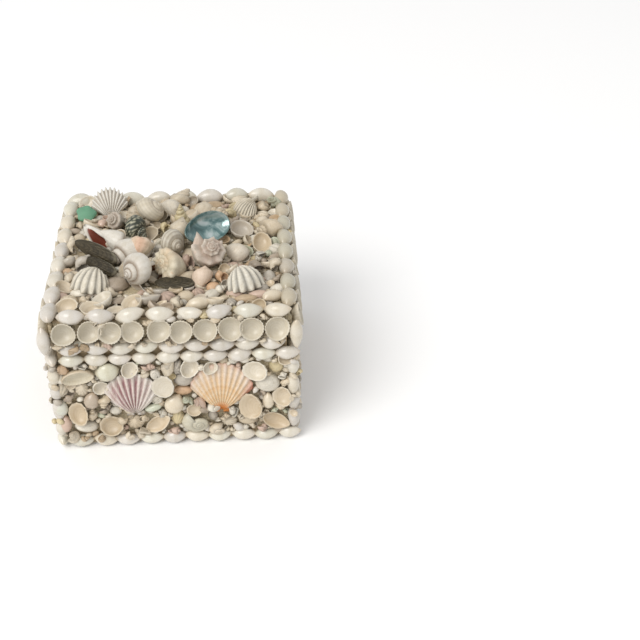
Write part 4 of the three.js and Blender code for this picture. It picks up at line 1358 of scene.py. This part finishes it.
# Shells of the lid's top: x, y, how far up, form, width, depth, towards, colour
LID_SHELLS = [
    (-79, -80, 0, "cup", 20, 12, -90, IVORY), (-68, -69, 1, "conch", 10, 9, 20, CREAM),
    (-53, -73, 0.5, "cup", 17, 20, 150, WHITE), (-30, -80, 0, "cup", 17, 17, -150, IVORY),
    (-28, -67, 1, "clam", 12, 11, 0, YELLOW), (-2, -70, 0.5, "lump", 17, 14, 0, BLUSH),
    (12, -66, 0, "clam", 15, 14, -90, CREAM), (5, -80, 0.5, "conch", 11, 8, 0, IVORY),
    (23, -80, 0.5, "cowrie", 22, 11, 15, IVORY), (37, -78, 0.5, "cup", 14, 13, 60, IVORY),
    (48, -78, 0, "lump", 11, 10, 0, GREY), (60, -74, 1.5, "wedge", 21, 9, 0, SAND),
    (81, -74, 0.5, "cowrie", 18, 12, 60, IVORY), (-45, -46, 0, "clam", 23, 20, 30, TAUPE),
    (33, -65, 0.5, "clam", 14, 13, 45, WHITE), (-82, 27, 0, "clam", 13, 18, 180, CREAM),
    (-84, 10, 0.5, "conch", 9, 15, 90, IVORY), (-80, -7, 0, "clam", 12, 10, 200, CREAM),
    (-74, -19, 0.5, "conch", 13, 12, 60, GREY), (-83, -37, 0.5, "conch", 10, 12, 100, IVORY),
    (-64, 51, 1.5, "ovoid", 8, 10, 70, BLUSH), (-83, 50, 0.5, "conch", 10, 9, 0, CREAM),
    (-38, 77, 0, "clam", 15, 13, 90, IVORY), (-23, 80, 0.5, "clam", 15, 12, 90, CREAM),
    (21, 77, 0, "clam", 20, 13, 90, SAND), (34, 80, 1, "clam", 20, 11, 60, SAND),
    (13, 67, 1, "clam", 13, 12, 120, CREAM), (77, 80, 0, "cockle", 13, 10, 0, SAND),
    (78, 69, 1, "conch", 11, 9, 20, CREAM), (57, 48, 0.5, "cup", 14, 10, 90, IVORY),
    (76, 52, 0.5, "clam", 13, 10, 0, IVORY), (80, 39, 0.5, "cup", 15, 11, 100, CREAM),
    (56, 27, 0, "cup", 22, 20, -90, GREY), (74, 5, 0.5, "cup", 17, 20, -80, CREAM),
    (61, -5, 0, "cup", 13, 12, -60, PALE_GREEN), (72, 28, 2, "conch", 9, 8, 0, IVORY),
    (48, -23, 1, "wedge", 15, 9, 10, BLUSH), (66, -22, 0, "cockle", 14, 13, 100, SAND),
    (79, -25, 0.5, "cup", 12, 11, 90, IVORY), (79, -42, 0, "clam", 12, 17, -90, GREY),
    (70, -69, 2, "wedge", 19, 9, 0, BLUSH), (34, -54, 0.5, "clam", 13, 12, 0, PEACH),
    (40, -62, 1.5, "conch", 10, 9, 20, WHITE), (22, -62, 0.5, "lump", 12, 10, 0, BLUSH),
    (12, -20, 1, "conch", 12, 13, 120, BLUSH), (41, -45, 1, "conch", 11, 12, 100, PEACH),
    (-9, 35, 2, "conch", 9, 14, 90, YELLOW), (52, 3, 1, "clam", 16, 13, -60, WHITE),
    (42, 66, 0, "clam", 16, 13, 80, CREAM), (-70, 75, 1, "conch", 11, 9, 30, IVORY),
    (-84, 72, 0, "clam", 12, 12, 180, IVORY),
]
CARPET_SEED = 5
CARPET_FILLERS = ["clam", "clam", "cup", "cup", "cup", "leaf", "conch", "wedge", "cockle", "lump"]
OUTLINE = 1.42  # a large shell's outline lies about this many spreads from its middle


def off_the_posy(x, y):
    """How far places on the lid lie from the outlines of the large shells."""
    room = np.full(np.shape(x), FAR_AWAY)
    for middle, spread in FOOTPRINTS:
        off = np.stack([x - middle[0], y - middle[1]], -1)
        away = np.sqrt(np.einsum("...i,ij,...j->...", off, np.linalg.inv(spread), off))
        narrow = math.sqrt(np.linalg.eigvalsh(spread)[0])
        room = np.minimum(room, (away - OUTLINE) * narrow)
    return room


def lid_mosaic(heap):
    low, high = (-LID_HALF, -LID_HALF, LID_BED_LOW), (LID_HALF, LID_HALF, LID_BED_Z)
    heap.add(slab(low, high, (2, 1), rows=30), GLUE)
    taken = []
    for x, y, up, *spec in LID_SHELLS:
        shape, material = one_shell(*spec, fine=0.85)
        heap.add(shape, material, tilt(7), (x, y, LID_BED_Z - 0.3 + up))
        taken.append([x, y, spec[1] * 0.46, spec[2] * 0.46])
    region = (-LID_HALF + 1.5, LID_HALF - 1.5, -LID_HALF + 2, LID_HALF - 2)
    for x, y, size in fill_gaps(taken, region, off_the_posy, 17, 1.5):
        form = CARPET_FILLERS[rng.integers(len(CARPET_FILLERS))] if size > 7 else filler_form()
        shape, material = one_shell(
            form, size * rng.uniform(1.05, 1.35), size * rng.uniform(0.85, 1.1), 360 * rng.random(),
            fine=0.70 if size > 10 else 0.50)
        heap.add(shape, material, tilt(14), (x, y, LID_BED_Z - 0.2 + rng.uniform(0, 1.6)))


rng = np.random.default_rng(CARPET_SEED)
make_piece("lid_mosaic", "mixed_shell", lid_mosaic)

# ---- Carcasses, floor and light ----

for name in ("base_carcass", "lid_carcass"):
    carcass = frame["nodes"][name]
    carcass.data.materials.clear()
    carcass.data.materials.append(BOARD)


def floor(half=3):
    mesh = bpy.data.meshes.new("floor")
    corners = [(-half, -half, 0), (half, -half, 0), (half, half, 0), (-half, half, 0)]
    mesh.from_pydata(corners, [], [(0, 1, 2, 3)])
    white = Finish("floor", {"Base Color": (0.95, 0.95, 0.95, 1), "Roughness": 0.8})
    mesh.materials.append(white.material)
    add_object("floor", mesh)


def key_light():
    """One large soft disk, high on the left and in front."""
    place, aim = Vector((-2.3, -2.7, 3.8)), Vector((0, 0, 0.05))
    data = bpy.data.lights.new("key", "AREA")
    data.shape, data.size, data.energy, data.color = "DISK", 3.4, 178, (1, 0.985, 0.96)
    look_along(add_object("key", data), place, aim - place)


def world():
    bpy.context.scene.view_settings.view_transform = "Standard"
    made = bpy.data.worlds.new("studio")
    made.use_nodes = True
    background = made.node_tree.nodes["Background"]
    background.inputs["Color"].default_value = (1, 1, 1, 1)
    background.inputs["Strength"].default_value = 0.73
    bpy.context.scene.world = made


floor()
world()
key_light()
